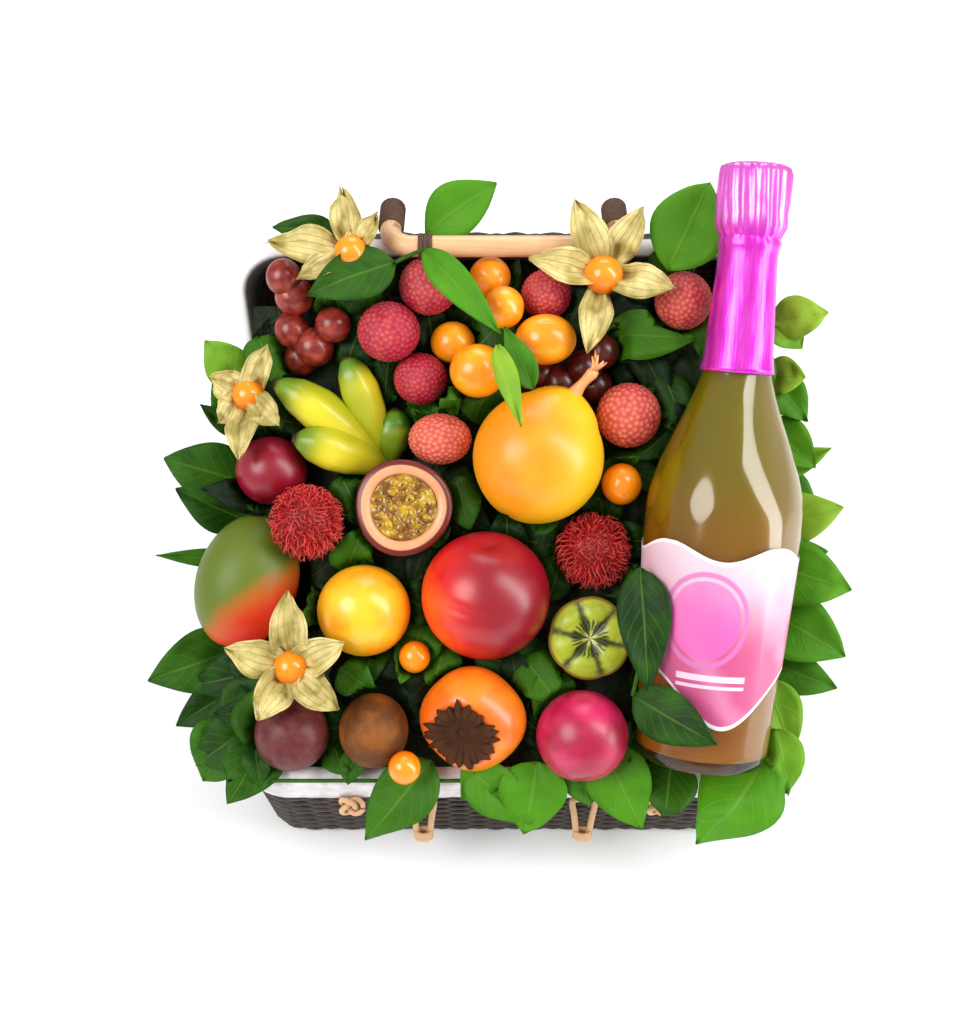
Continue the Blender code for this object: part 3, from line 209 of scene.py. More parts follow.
# Leaves between the fruit: foot, tip, width and a shade from dark to bright.
FILLING_LEAVES = (
    ((-0.070, 0.296, 0.012), (-0.112, 0.276, 0.020), 0.026, 0.15),
    ((-0.042, 0.216, 0.016), (-0.062, 0.216, 0.022), 0.014, 0.35),
    ((-0.024, 0.222, 0.024), (-0.058, 0.222, 0.014), 0.020, 0.45),
    ((0.016, 0.226, 0.044), (0.000, 0.262, 0.036), 0.014, 0.70),
    ((0.060, 0.262, 0.004), (0.112, 0.258, 0.012), 0.026, 0.55),
    ((0.088, 0.240, -0.002), (0.108, 0.200, 0.004), 0.024, 0.30),
    ((0.092, 0.176, 0.000), (0.122, 0.192, 0.012), 0.022, 0.45),
    ((0.044, 0.168, 0.004), (0.080, 0.190, 0.010), 0.018, 0.30),
    ((-0.096, 0.180, 0.010), (-0.078, 0.146, 0.010), 0.022, 0.25),
    ((-0.094, 0.120, 0.000), (-0.080, 0.150, 0.016), 0.022, 0.50),
    ((-0.028, 0.178, 0.006), (-0.020, 0.146, 0.008), 0.022, 0.25),
    ((-0.050, 0.140, 0.000), (-0.030, 0.160, 0.010), 0.020, 0.20),
    ((0.030, 0.148, 0.006), (0.016, 0.160, 0.012), 0.018, 0.25),
    ((-0.046, 0.094, -0.004), (-0.060, 0.058, 0.018), 0.026, 0.50),
    ((-0.034, 0.082, -0.002), (-0.042, 0.052, 0.016), 0.022, 0.35),
    ((0.012, 0.072, 0.000), (0.032, 0.046, 0.016), 0.026, 0.45),
    ((0.034, 0.066, 0.002), (0.020, 0.030, 0.014), 0.022, 0.40),
    ((-0.096, 0.066, 0.006), (-0.074, 0.052, 0.014), 0.020, 0.40),
    ((-0.106, 0.108, 0.004), (-0.124, 0.092, 0.016), 0.022, 0.35),
    ((0.074, 0.110, 0.002), (0.092, 0.126, 0.010), 0.022, 0.25),
    ((0.076, 0.052, 0.004), (0.098, 0.062, 0.014), 0.022, 0.30),
    ((0.066, 0.012, 0.010), (0.090, 0.036, 0.020), 0.024, 0.30),
    ((-0.100, 0.020, 0.002), (-0.092, 0.004, 0.012), 0.018, 0.30),
    ((-0.148, 0.052, 0.004), (-0.140, 0.012, 0.010), 0.024, 0.25),
    ((-0.140, 0.160, -0.010), (-0.150, 0.150, -0.002), 0.020, 0.25),
    ((-0.122, 0.206, -0.004), (-0.140, 0.196, -0.002), 0.022, 0.30),
    ((-0.146, 0.262, -0.006), (-0.132, 0.232, 0.002), 0.022, 0.45),
    ((0.118, 0.250, -0.004), (0.134, 0.292, 0.004), 0.024, 0.45),
    ((0.086, 0.292, 0.000), (0.116, 0.312, 0.010), 0.024, 0.40),
    ((-0.018, 0.210, 0.002), (-0.008, 0.232, 0.012), 0.018, 0.30),
    ((0.136, 0.270, -0.012), (0.158, 0.296, -0.002), 0.026, 0.60),
    ((0.146, 0.236, -0.024), (0.158, 0.260, -0.012), 0.026, 0.60),
    ((0.140, 0.190, -0.034), (0.158, 0.214, -0.024), 0.026, 0.60),
)


def srgb(red, green, blue):
    """Linear colour of the usual 0 to 255 values."""
    shares = (value / 255 for value in (red, green, blue))
    return tuple(share / 12.92 if share <= 0.04045 else ((share + 0.055) / 1.055) ** 2.4 for share in shares)


def scaled(shade, share):
    """A colour made darker or brighter by a share."""
    return [min(part * share, 1.0) for part in shade]


def colour(name, description, red, green, blue):
    return bpy.props.FloatVectorProperty(
        name=name, description=description, subtype="COLOR", size=3, min=0.0, max=1.0,
        default=srgb(red, green, blue))


def length(name, description, default):
    return bpy.props.FloatProperty(
        name=name, description=description, default=default, unit="LENGTH", precision=4)


class BasketSizes(bpy.types.PropertyGroup):
    """Sizes that the frame doesn't give."""

    strand: length("Strand", "Thickness of one wicker strand", 0.0036)
    stake_gap: length("Stake gap", "Distance between the uprights that the strands pass", 0.0125)
    wall: length("Wall", "Thickness of the hamper's walls", 0.007)
    corner: length("Corner", "Radius of the hamper's corners at its rim", 0.030)
    base_flare: length("Base flare", "How much the base widens on each side, from floor to rim", 0.012)
    lid_flare: length("Lid flare", "How much the lid widens on each side, from panel to rim", 0.015)
    cloth: length("Cloth", "Thickness of the liner", 0.0016)
    glass: length("Glass", "Thickness of the bottle's wall", 0.0032)
    leaf: length("Leaf", "Thickness of a leaf", 0.0007)
    hair: length("Hair", "Length of a rambutan's hairs", 0.0062)


class BasketColours(bpy.types.PropertyGroup):
    """Colours read from the photograph."""

    wicker: colour("Wicker", "Stained strands of the hamper", 48, 38, 31)
    cloth: colour("Cloth", "Cotton liner", 240, 234, 236)
    rattan: colour("Rattan", "Handle, loops and knots", 222, 176, 130)
    leaf_dark: colour("Dark leaf", "Shaded leaves", 12, 46, 4)
    leaf_bright: colour("Bright leaf", "Lit leaves", 72, 136, 14)
    leaf_lime: colour("Lime leaf", "Leaves with light behind them", 150, 182, 52)
    # Lychee skin between the bumps is darker than on them: painted shade in the crevices.
    lychee: colour("Lychee", "Ripe skin between the bumps", 146, 10, 36)
    lychee_tip: colour("Lychee tips", "Ripe skin on the bumps", 216, 52, 84)
    lychee_pale: colour("Pale lychee", "Less ripe skin between the bumps", 196, 66, 54)
    lychee_pale_tip: colour("Pale lychee tips", "Less ripe skin on the bumps", 250, 150, 112)
    kumquat: colour("Kumquat", "Peel", 255, 140, 8)
    berry: colour("Berry", "Orange berries", 255, 142, 10)
    husk: colour("Husk", "Papery husks", 226, 208, 140)
    grape: colour("Grape", "Grape skin", 112, 18, 16)
    banana: colour("Banana", "Ripe side", 222, 206, 40)
    banana_green: colour("Green banana", "Unripe side and tips", 84, 128, 22)
    plum: colour("Plum", "Skin of the red plums", 156, 8, 52)
    yellow_plum: colour("Yellow plum", "Skin", 250, 190, 34)
    nectarine: colour("Nectarine", "Dark side", 138, 4, 26)
    nectarine_light: colour("Light nectarine", "Light side", 246, 84, 24)
    rambutan: colour("Rambutan", "Skin", 158, 20, 18)
    hair: colour("Hair", "Rambutan hairs", 222, 42, 50)
    passion: colour("Passion fruit", "Whole skin", 84, 26, 32)
    rind: colour("Rind", "Cut edge of the passion fruit", 224, 158, 114)
    pulp: colour("Pulp", "Passion fruit pulp", 188, 150, 20)
    seed: colour("Seed", "Seeds", 28, 18, 12)
    granadilla: colour("Granadilla", "Skin", 255, 206, 24)
    mango_green: colour("Green mango", "Upper side", 90, 108, 26)
    mango_red: colour("Red mango", "Lower side", 214, 50, 22)
    kiwi: colour("Kiwi", "Flesh", 166, 182, 22)
    kiwi_skin: colour("Kiwi skin", "Skin of the whole fruit", 124, 70, 18)
    persimmon: colour("Persimmon", "Skin", 238, 104, 18)
    calyx: colour("Calyx", "Dry leaves of the persimmon", 62, 38, 24)
    foil: colour("Foil", "Foil on the neck", 232, 40, 206)
    label: colour("Label", "Pink of the label", 192, 78, 126)
    paper: colour("Paper", "White of the label", 226, 200, 212)
    glass: colour("Glass", "Tint of the bottle", 236, 232, 206)
    wine: colour("Wine", "The drink", 228, 142, 34)
    floor: colour("Floor", "The pale stage", 250, 250, 250)


class Value:
    """One socket or number in a material, with the usual maths."""

    def __init__(self, shader, source):
        self.shader = shader
        self.source = source

    def maths(self, operation, *others, clamp=False):
        inputs = {index: item for index, item in enumerate((self, *others))}
        made = self.shader.node("ShaderNodeMath", inputs, operation=operation, use_clamp=clamp)
        return Value(self.shader, made.outputs[0])

    def __add__(self, other):
        return self.maths("ADD", other)

    def __sub__(self, other):
        return self.maths("SUBTRACT", other)

    def __mul__(self, other):
        return self.maths("MULTIPLY", other)

    def __truediv__(self, other):
        return self.maths("DIVIDE", other)

    def __pow__(self, other):
        return self.maths("POWER", other)

    def __neg__(self):
        return self.maths("MULTIPLY", -1.0)

    def __abs__(self):
        return self.maths("ABSOLUTE")

    def __rsub__(self, other):
        return Value(self.shader, other).maths("SUBTRACT", self)

    def __rtruediv__(self, other):
        return Value(self.shader, other).maths("DIVIDE", self)

    __radd__ = __add__
    __rmul__ = __mul__

    def fraction(self):
        return self.maths("FRACT")

    def clamped(self):
        return self.maths("ADD", 0.0, clamp=True)

    def between(self, low, high):
        """0 below low, 1 above high and smooth from one to the other."""
        made = self.shader.node("ShaderNodeMapRange", {"Value": self, "From Min": low, "From Max": high},
                                interpolation_type="SMOOTHSTEP")
        return Value(self.shader, made.outputs["Result"])


class Shader:
    """Makes one material's nodes."""

    def __init__(self, name):
        self.material = bpy.data.materials.new(name)
        self.material.use_nodes = True
        self.tree = self.material.node_tree
        self.surface = self.tree.nodes["Principled BSDF"]

    def node(self, kind, inputs=None, **settings):
        """Adds a node, sets its options and feeds its inputs with sockets, numbers or colours."""
        made = self.tree.nodes.new(kind)
        for name, setting in settings.items():
            setattr(made, name, setting)
        for key, item in (inputs or {}).items():
            self.feed(made.inputs[key], item)
        return made

    def feed(self, socket, item):
        item = item.source if isinstance(item, Value) else item
        if isinstance(item, bpy.types.NodeSocket):
            self.tree.links.new(item, socket)
        elif socket.type == "RGBA":
            socket.default_value = (*item[:3], 1.0)
        else:
            socket.default_value = item

    def set(self, **inputs):
        for name, item in inputs.items():
            self.feed(self.surface.inputs[name.replace("_", " ").title().replace("Ior", "IOR")], item)
        return self

    def own(self, axis=None):
        """The piece's own coordinates, or one of them."""
        made = self.node("ShaderNodeAttribute", attribute_name="own", attribute_type="GEOMETRY")
        if axis is None:
            return made.outputs["Vector"]
        split = self.node("ShaderNodeSeparateXYZ", {"Vector": made.outputs["Vector"]})
        return Value(self, split.outputs[axis])

    def attribute(self, name):
        made = self.node("ShaderNodeAttribute", attribute_name=name, attribute_type="GEOMETRY")
        return Value(self, made.outputs["Fac"])

    def noise(self, scale, detail=3.0, where=None, stretch=None, rough=0.5):
        where = self.own() if where is None else where
        if stretch:
            where = self.node("ShaderNodeMapping", {"Vector": where, "Scale": stretch}).outputs["Vector"]
        inputs = {"Vector": where, "Scale": scale, "Detail": detail, "Roughness": rough}
        return Value(self, self.node("ShaderNodeTexNoise", inputs).outputs["Fac"])

    def place_noise(self, scale, detail, stretch, rough=0.5):
        """Noise over the whole part instead of over the piece's own coordinates."""
        place = self.node("ShaderNodeTexCoord").outputs["Object"]
        return self.noise(scale, detail, place, (stretch, stretch, stretch), rough)

    def cells(self, scale):
        made = self.node("ShaderNodeTexVoronoi", {"Vector": self.own(), "Scale": scale})
        return Value(self, made.outputs["Distance"])

    def mix(self, share, first, second):
        """Goes from the first colour at 0 to the second at 1."""
        return self.node("ShaderNodeMix", {0: share, 6: first, 7: second}, data_type="RGBA").outputs[2]

    def bump(self, height, strength=0.3, distance=0.001):
        made = self.node("ShaderNodeBump", {"Height": height, "Strength": strength, "Distance": distance})
        self.feed(self.surface.inputs["Normal"], made.outputs["Normal"])
        return self


def box_of(node):
    """Lower and upper corner of a node of the part."""
    low, high = BOXES[node]
    return low.copy(), high.copy()


def on_slope():
    """Matrix from the slope's own frame (across, up, out) to the frame of the whole part."""
    foot = Vector((0.0, box_of("basket_tray")[0].y, box_of("basket_tray")[1].z))
    return Matrix.Translation(foot) @ Matrix.Rotation(SLOPE_LEAN, 4, "X")


def middle_of(node):
    low, high = box_of(node)
    return (low + high) / 2


def size_of(node):
    low, high = box_of(node)
    return high - low


def turned_by(x, y, z):
    """Matrix of turns in degrees, round X first and round Z last."""
    turns = [Matrix.Rotation(math.radians(angle), 4, axis) for angle, axis in ((z, "Z"), (y, "Y"), (x, "X"))]
    return turns[0] @ turns[1] @ turns[2]


def turned_to(axis):
    """Matrix that turns Z to an axis."""
    return Vector((0, 0, 1)).rotation_difference(axis).to_matrix().to_4x4()


def moved(x, y, z):
    return Matrix.Translation((x, y, z))


def stretched(x, y, z):
    return Matrix.Diagonal((x, y, z, 1))


def round_steps(count):
    """Angle, cosine and sine of evenly spaced steps round a circle."""
    for step in range(count):
        angle = 2 * math.pi * step / count
        yield angle, math.cos(angle), math.sin(angle)


def spread_direction(index, count):
    """One of a number of directions that are spread evenly over a ball."""
    height = 1 - 2 * (index + 0.5) / count
    turn = index * GOLDEN
    ring = math.sqrt(1 - height * height)
    return Vector((ring * math.cos(turn), ring * math.sin(turn), height))


def jitter(chance, size):
    return Vector([chance.uniform(-size, size) for _ in range(3)])


def new_bmesh():
    """An empty bmesh whose points carry the piece's own coordinates and one shade."""
    bm = bmesh.new()
    bm.verts.layers.float_vector.new("own")
    bm.verts.layers.float.new("shade")
    return bm


def set_shade(bm, verts, shade):
    layer = bm.verts.layers.float["shade"]
    for vert in verts:
        vert[layer] = shade


def finished(bm, name, shader, body, nodes):
    """Turns a bmesh in the part's frame into a piece that rides on a body and stands for CAD nodes."""
    bmesh.ops.recalc_face_normals(bm, faces=bm.faces[:])
    mesh = bpy.data.meshes.new(name)
    bm.to_mesh(mesh)
    bm.free()
    mesh.materials.append(shader.material)
    mesh.shade_smooth()
    made = bpy.data.objects.new(name, mesh)
    bpy.context.scene.collection.objects.link(made)
    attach(made, body)
    if nodes:
        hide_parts(*nodes)


def fit_to(bm, node):
    """Scales and moves the points so that they fill the node's box."""
    low = Vector([min(vert.co[axis] for vert in bm.verts) for axis in range(3)])
    high = Vector([max(vert.co[axis] for vert in bm.verts) for axis in range(3)])
    target_low, target_high = box_of(node)
    for vert in bm.verts:
        for axis in range(3):
            share = (vert.co[axis] - low[axis]) / (high[axis] - low[axis])
            vert.co[axis] = target_low[axis] + share * (target_high[axis] - target_low[axis])


def join_rows(bm, rows, closed=False):
    """Joins each ring of points to the next one, and also the last to the first if asked."""
    pairs = list(zip(rows, rows[1:]))
    if closed:
        pairs.append((rows[-1], rows[0]))
    for lower, upper in pairs:
        for index in range(len(lower)):
            after = (index + 1) % len(lower)
            bm.faces.new((lower[index], lower[after], upper[after], upper[index]))


def add_ball(bm, detail, matrix, shape=None):
    """Adds a round body. A shape function moves each unit point in or out."""
    made = bmesh.ops.create_icosphere(bm, subdivisions=detail, radius=1.0)["verts"]
    layer = bm.verts.layers.float_vector["own"]
    for vert in made:
        unit = vert.co.copy()
        vert[layer] = unit
        vert.co = unit * (shape(unit) if shape else 1.0)
    bmesh.ops.transform(bm, matrix=matrix, verts=made)
    return made


def add_tube(bm, points, radius, sides, radii=None, closed=False):
    """Adds a tube along points. Its own coordinates run round it (x, y) and along it (z)."""
    layer = bm.verts.layers.float_vector["own"]
    points = [Vector(point) for point in points]
    count = len(points)
    rings = []
    up = None
    travelled = 0.0
    for index, point in enumerate(points):
        before = points[index - 1] if index or closed else point
        after = points[(index + 1) % count] if index < count - 1 or closed else point
        along = (after - before).normalized()
        if up is None:
            up = along.orthogonal().normalized()
        up = (up - along * up.dot(along)).normalized()
        side = along.cross(up)
        if index:
            travelled += (point - points[index - 1]).length
        width = radius * (radii[index] if radii else 1.0)
        ring = []
        for _, x, y in round_steps(sides):
            vert = bm.verts.new(point + (up * x + side * y) * width)
            vert[layer] = (x, y, travelled / radius)
            ring.append(vert)
        rings.append(ring)
    join_rows(bm, rings, closed)
    if not closed:
        bm.faces.new(rings[0])
        bm.faces.new(rings[-1])
    return [vert for ring in rings for vert in ring]


def add_binding(bm, place, middle, first, second, radius, steps):
    """Adds one closed turn of thin cane round a middle, as far out as two vectors reach."""
    points = [place(middle + first * x + second * y) for _, x, y in round_steps(steps)]
    add_tube(bm, points, radius, 6, closed=True)


def add_sheet(bm, grid):
    """Adds a thin closed sheet. Each entry of the grid has its place on either face and its own values."""
    layer = bm.verts.layers.float_vector["own"]
    upper, lower = ([[bm.verts.new(entry[face]) for entry in line] for line in grid] for face in (0, 1))
    made = []
    for sheet in (upper, lower):
        for verts, line in zip(sheet, grid):
            for vert, entry in zip(verts, line):
                vert[layer] = entry[2]
                made.append(vert)
    rows, columns = len(grid) - 1, len(grid[0]) - 1
    for row in range(rows):
        for column in range(columns):
            corners = ((row, column), (row, column + 1), (row + 1, column + 1), (row + 1, column))
            bm.faces.new([upper[y][x] for y, x in corners])
            bm.faces.new([lower[y][x] for y, x in reversed(corners)])
    edge = [(row, 0) for row in range(rows)]
    edge += [(rows, column) for column in range(columns)]
    edge += [(row, columns) for row in range(rows, 0, -1)]
    edge += [(0, column) for column in range(columns, 0, -1)]
    for (y, x), (next_y, next_x) in zip(edge, edge[1:] + edge[:1]):
        bm.faces.new((upper[y][x], lower[y][x], lower[next_y][next_x], upper[next_y][next_x]))
    return made


def smooth_path(points, steps, closed=False):
    """Points along a smooth curve through a few points."""
    points = [Vector(point) for point in points]
    count = len(points)
    found = []
    for index in range(count if closed else count - 1):
        if closed:
            before, start, end, after = (points[(index + shift) % count] for shift in (-1, 0, 1, 2))
        else:
            start, end = points[index], points[index + 1]
            before = points[index - 1] if index else start * 2 - end
            after = points[index + 2] if index + 2 < count else end * 2 - start
        for step in range(steps):
            t = step / steps
            square = 2 * before - 5 * start + 4 * end - after
            cube = 3 * start - before - 3 * end + after
            found.append(0.5 * (2 * start + (end - before) * t + square * t ** 2 + cube * t ** 3))
    if not closed:
        found.append(points[-1])
    return found


def bow(start, middle, end, steps):
    """Points of a simple bow from start to end that leans towards a middle point."""
    start, middle, end = Vector(start), Vector(middle), Vector(end)
    shares = [step / steps for step in range(steps + 1)]
    return [start * (1 - t) ** 2 + middle * 2 * t * (1 - t) + end * t * t for t in shares]


class Rim:
    """The rounded outline of the hamper's rim, drawn in by an inset."""

    def __init__(self, corner):
        low, high = box_of("basket_tray")
        self.corner = corner
        self.half_x = (high.x - low.x) / 2
        self.half_y = (high.y - low.y) / 2

    def outline(self, inset, count):
        """Evenly spaced points and outward directions of the rounded rectangle at an inset."""
        corner = max(self.corner - 0.7 * inset, 0.005)
        flat_x = self.half_x - inset - corner
        flat_y = self.half_y - inset - corner
        arc = math.pi / 2 * corner
        parts = [(flat_y * 2, "side", 0), (arc, "arc", 0), (flat_x * 2, "side", 1), (arc, "arc", 1)]
        parts = parts + [(size, kind, index + 2) for size, kind, index in parts]
        total = sum(size for size, _, _ in parts)
        found = []
        for step in range(count):
            run = total * step / count
            for size, kind, index in parts:
                if run <= size:
                    break
                run -= size
            turn = Matrix.Rotation(math.pi / 2 * index, 3, "Z")
            reach, wide = (flat_x, flat_y) if index % 2 == 0 else (flat_y, flat_x)
            if kind == "side":
                spot, out = Vector((reach + corner, run - wide, 0)), Vector((1, 0, 0))
            else:
                angle = run / corner
                out = Vector((math.cos(angle), math.sin(angle), 0))
                spot = Vector((reach, wide, 0)) + out * corner
            found.append((turn @ spot, turn @ out))
        return found


class BasketOperator:
    """What every operator here shares."""

    bl_options = {"REGISTER", "UNDO"}

    def sizes(self, context):
        return context.scene.basket_sizes

    def colours(self, context):
        return context.scene.basket_colours


def wicker_shader(colours):
    shader = Shader("Wicker")
    grain = shader.noise(3.0, 4.0, stretch=(2.0, 2.0, 0.6))
    # The shade attribute gives each strand its own tone at random; the plain wall behind the strands gets
    # the lowest value, a painted shade in the gaps of the weave.
    strand = shader.attribute("shade")
    base = shader.mix(strand, scaled(colours.wicker, 0.35), scaled(colours.wicker, 1.5))
    lit = shader.mix(grain.between(0.45, 0.75) * 0.55, base, srgb(110, 92, 76))
    shader.set(base_color=lit, roughness=0.42 + grain * 0.25)
    return shader.bump(grain, 0.25, 0.0004)


def weave(bm, rim, bottom, top, inset_at, spacing, radius, place):
    """Weaves closed strands round a wall, one above another, over and under its uprights."""
    perimeter = 4 * (rim.half_x + rim.half_y) * ROUNDED_SHARE
    stakes = 2 * round(perimeter / spacing / 2)
    rows = max(2, round((top - bottom) / (radius * ROW_PITCH)))
    for row in range(rows):
        height = bottom + (top - bottom) * (row + 0.5) / rows
        points = []
        for index, (spot, out) in enumerate(rim.outline(inset_at(height), stakes * 3)):
            sway = math.cos(math.pi * (index / 3 + row))
            spot = spot + out * (sway * radius * STRAND_SWAY - radius * STRAND_SUNK)
            uneven = radius * 0.12 * math.sin(index * 1.7 + row)
            points.append(place(Vector((spot.x, spot.y, height + uneven))))
        made = add_tube(bm, points, radius, 6, closed=True)
        set_shade(bm, made, random.uniform(0.1, 1.0))
    levels = 6
    for index in range(stakes):
        points = []
        for step in range(levels + 1):
            height = bottom + (top - bottom) * step / levels
            spot, _ = rim.outline(inset_at(height) + radius * 0.9, stakes)[index]
            points.append(place(Vector((spot.x, spot.y, height))))
        made = add_tube(bm, points, radius * 0.75, 5)
        set_shade(bm, made, random.uniform(0.0, 0.5))


def weave_panel(bm, half_x, half_y, corner, height, radius, spacing, side, place):
    """Weaves a flat panel: strands along X that pass over and under ribs along Y."""
    rows = round(2 * half_y / (radius * ROW_PITCH))
    for row in range(rows):
        y = -half_y + 2 * half_y * (row + 0.5) / rows
        over = max(abs(y) - (half_y - corner), 0.0)
        reach = half_x - corner + math.sqrt(max(corner ** 2 - over ** 2, 0.0))
        steps = max(4, 2 * round(reach / spacing * 1.5))
        points = []
        for step in range(steps + 1):
            x = -reach + 2 * reach * step / steps
            sway = math.cos(math.pi * (x / spacing + row))
            points.append(place(Vector((x, y, height + side * (sway * radius * 0.5 - radius * 0.5)))))
        made = add_tube(bm, points, radius, 6)
        set_shade(bm, made, random.uniform(0.1, 1.0))


def add_shell(bm, rim, rings, count, place, closed=False):
    """Adds a solid through rings of the rim's outline, each an inset and a height."""
    layer = bm.verts.layers.float_vector["own"]
    rows = []
    for inset, height in rings:
        places = [place(Vector((spot.x, spot.y, height))) for spot, _ in rim.outline(inset, count)]
        rows.append([bm.verts.new(spot) for spot in places])
    join_rows(bm, rows, closed)
    if not closed:
        bm.faces.new(rows[0])
        bm.faces.new(list(reversed(rows[-1])))
    for row in rows:
        # A low shade for every shell; in the wicker it paints the wall behind the strands dark, as shade.
        set_shade(bm, row, 0.05)
        for vert in row:
            vert[layer] = vert.co * 100.0
    return rows


def lid_joint():
    return next(item for item in frame["joints"] if item["name"] == "lid_hinge")


def lid_place():
    """Function that turns a point of the closed lid into the place where the lid stands open."""
    pivot = Vector(lid_joint()["pos_m"])
    turn = Matrix.Rotation(-LID_OPEN, 3, "X")
    return lambda point: pivot + turn @ (point - pivot)


def lid_reach():
    """Heights of the closed lid's rim and of its panel."""
    rim = lid_joint()["pos_m"][2] + RIM_OVER_HINGE
    return rim, rim + LID_DEPTH


def unmoved(point):
    return point


class BASKET_OT_base(BasketOperator, bpy.types.Operator):
    """Weaves the hamper's base"""

    bl_idname = "basket.base"
    bl_label = "Woven base"

    def execute(self, context):
        sizes = self.sizes(context)
        low, high = box_of("basket_tray")
        rim = Rim(sizes.corner)
        top = high.z
        radius = sizes.strand / 2
        skin = radius * WALL_SKIN
        floor_drawn_in, strand_lift = 0.017, 0.0019

        def inset(height):
            return sizes.base_flare * (1 - height / top)
        bm = new_bmesh()
        add_shell(bm, rim, [
            (inset(0) + 0.007, 0.0006), (inset(0) + skin + 0.001, 0.003), (inset(top) + skin, top - 0.002),
            (sizes.wall - 0.0006, top - 0.001), (inset(0.012) + sizes.wall, 0.012),
            (inset(0.008) + 0.010, 0.0075),
        ], SHELL_STEPS, unmoved)
        weave(bm, rim, 0.0012, top - 0.0035, lambda z: inset(z) + max(0.004 - z, 0), sizes.stake_gap, radius,
              unmoved)
        weave_panel(bm, rim.half_x - floor_drawn_in, rim.half_y - floor_drawn_in, 0.02, 0.0, radius * 0.9,
                    PANEL_RIB_GAP, -1, lambda point: Vector((point.x, point.y, point.z + strand_lift)))
        for vert in bm.verts:
            vert.co.z = max(vert.co.z, low.z)
        finished(bm, "woven_base", wicker_shader(self.colours(context)), BASKET, ["basket_tray"])
        return {"FINISHED"}


class BASKET_OT_lid(BasketOperator, bpy.types.Operator):
    """Weaves the hamper's lid, which stands open"""

    bl_idname = "basket.lid"
    bl_label = "Woven lid"

    def execute(self, context):
        sizes = self.sizes(context)
        rim = Rim(sizes.corner)
        radius = sizes.strand / 2
        skin = radius * WALL_SKIN
        place = lid_place()
        bottom, top = lid_reach()

        def inset(height):
            return sizes.lid_flare * (height - bottom) / (top - bottom)
        bm = new_bmesh()
        add_shell(bm, rim, [
            (inset(top) + 0.007, top - 0.0006), (inset(top) + skin + 0.001, top - 0.003),
            (skin, bottom + 0.002), (sizes.wall - 0.0006, bottom + 0.001),
            (inset(top - 0.010) + sizes.wall, top - 0.010), (inset(top - 0.007) + 0.010, top - 0.0068),
        ], SHELL_STEPS, place)
        weave(bm, rim, bottom + 0.003, top - 0.0015, inset, sizes.stake_gap, radius, place)
        outside, inside = (0.003, 0.02, top + 0.0006, 1), (0.010, 0.018, top - 0.0068, -1)
        for drawn_in, corner, height, side in (outside, inside):
            weave_panel(bm, rim.half_x - inset(top) - drawn_in, rim.half_y - inset(top) - drawn_in, corner,
                        height, radius * 0.95, PANEL_RIB_GAP, side, place)
        finished(bm, "woven_lid", wicker_shader(self.colours(context)), LID, ["basket_lid"])
        return {"FINISHED"}


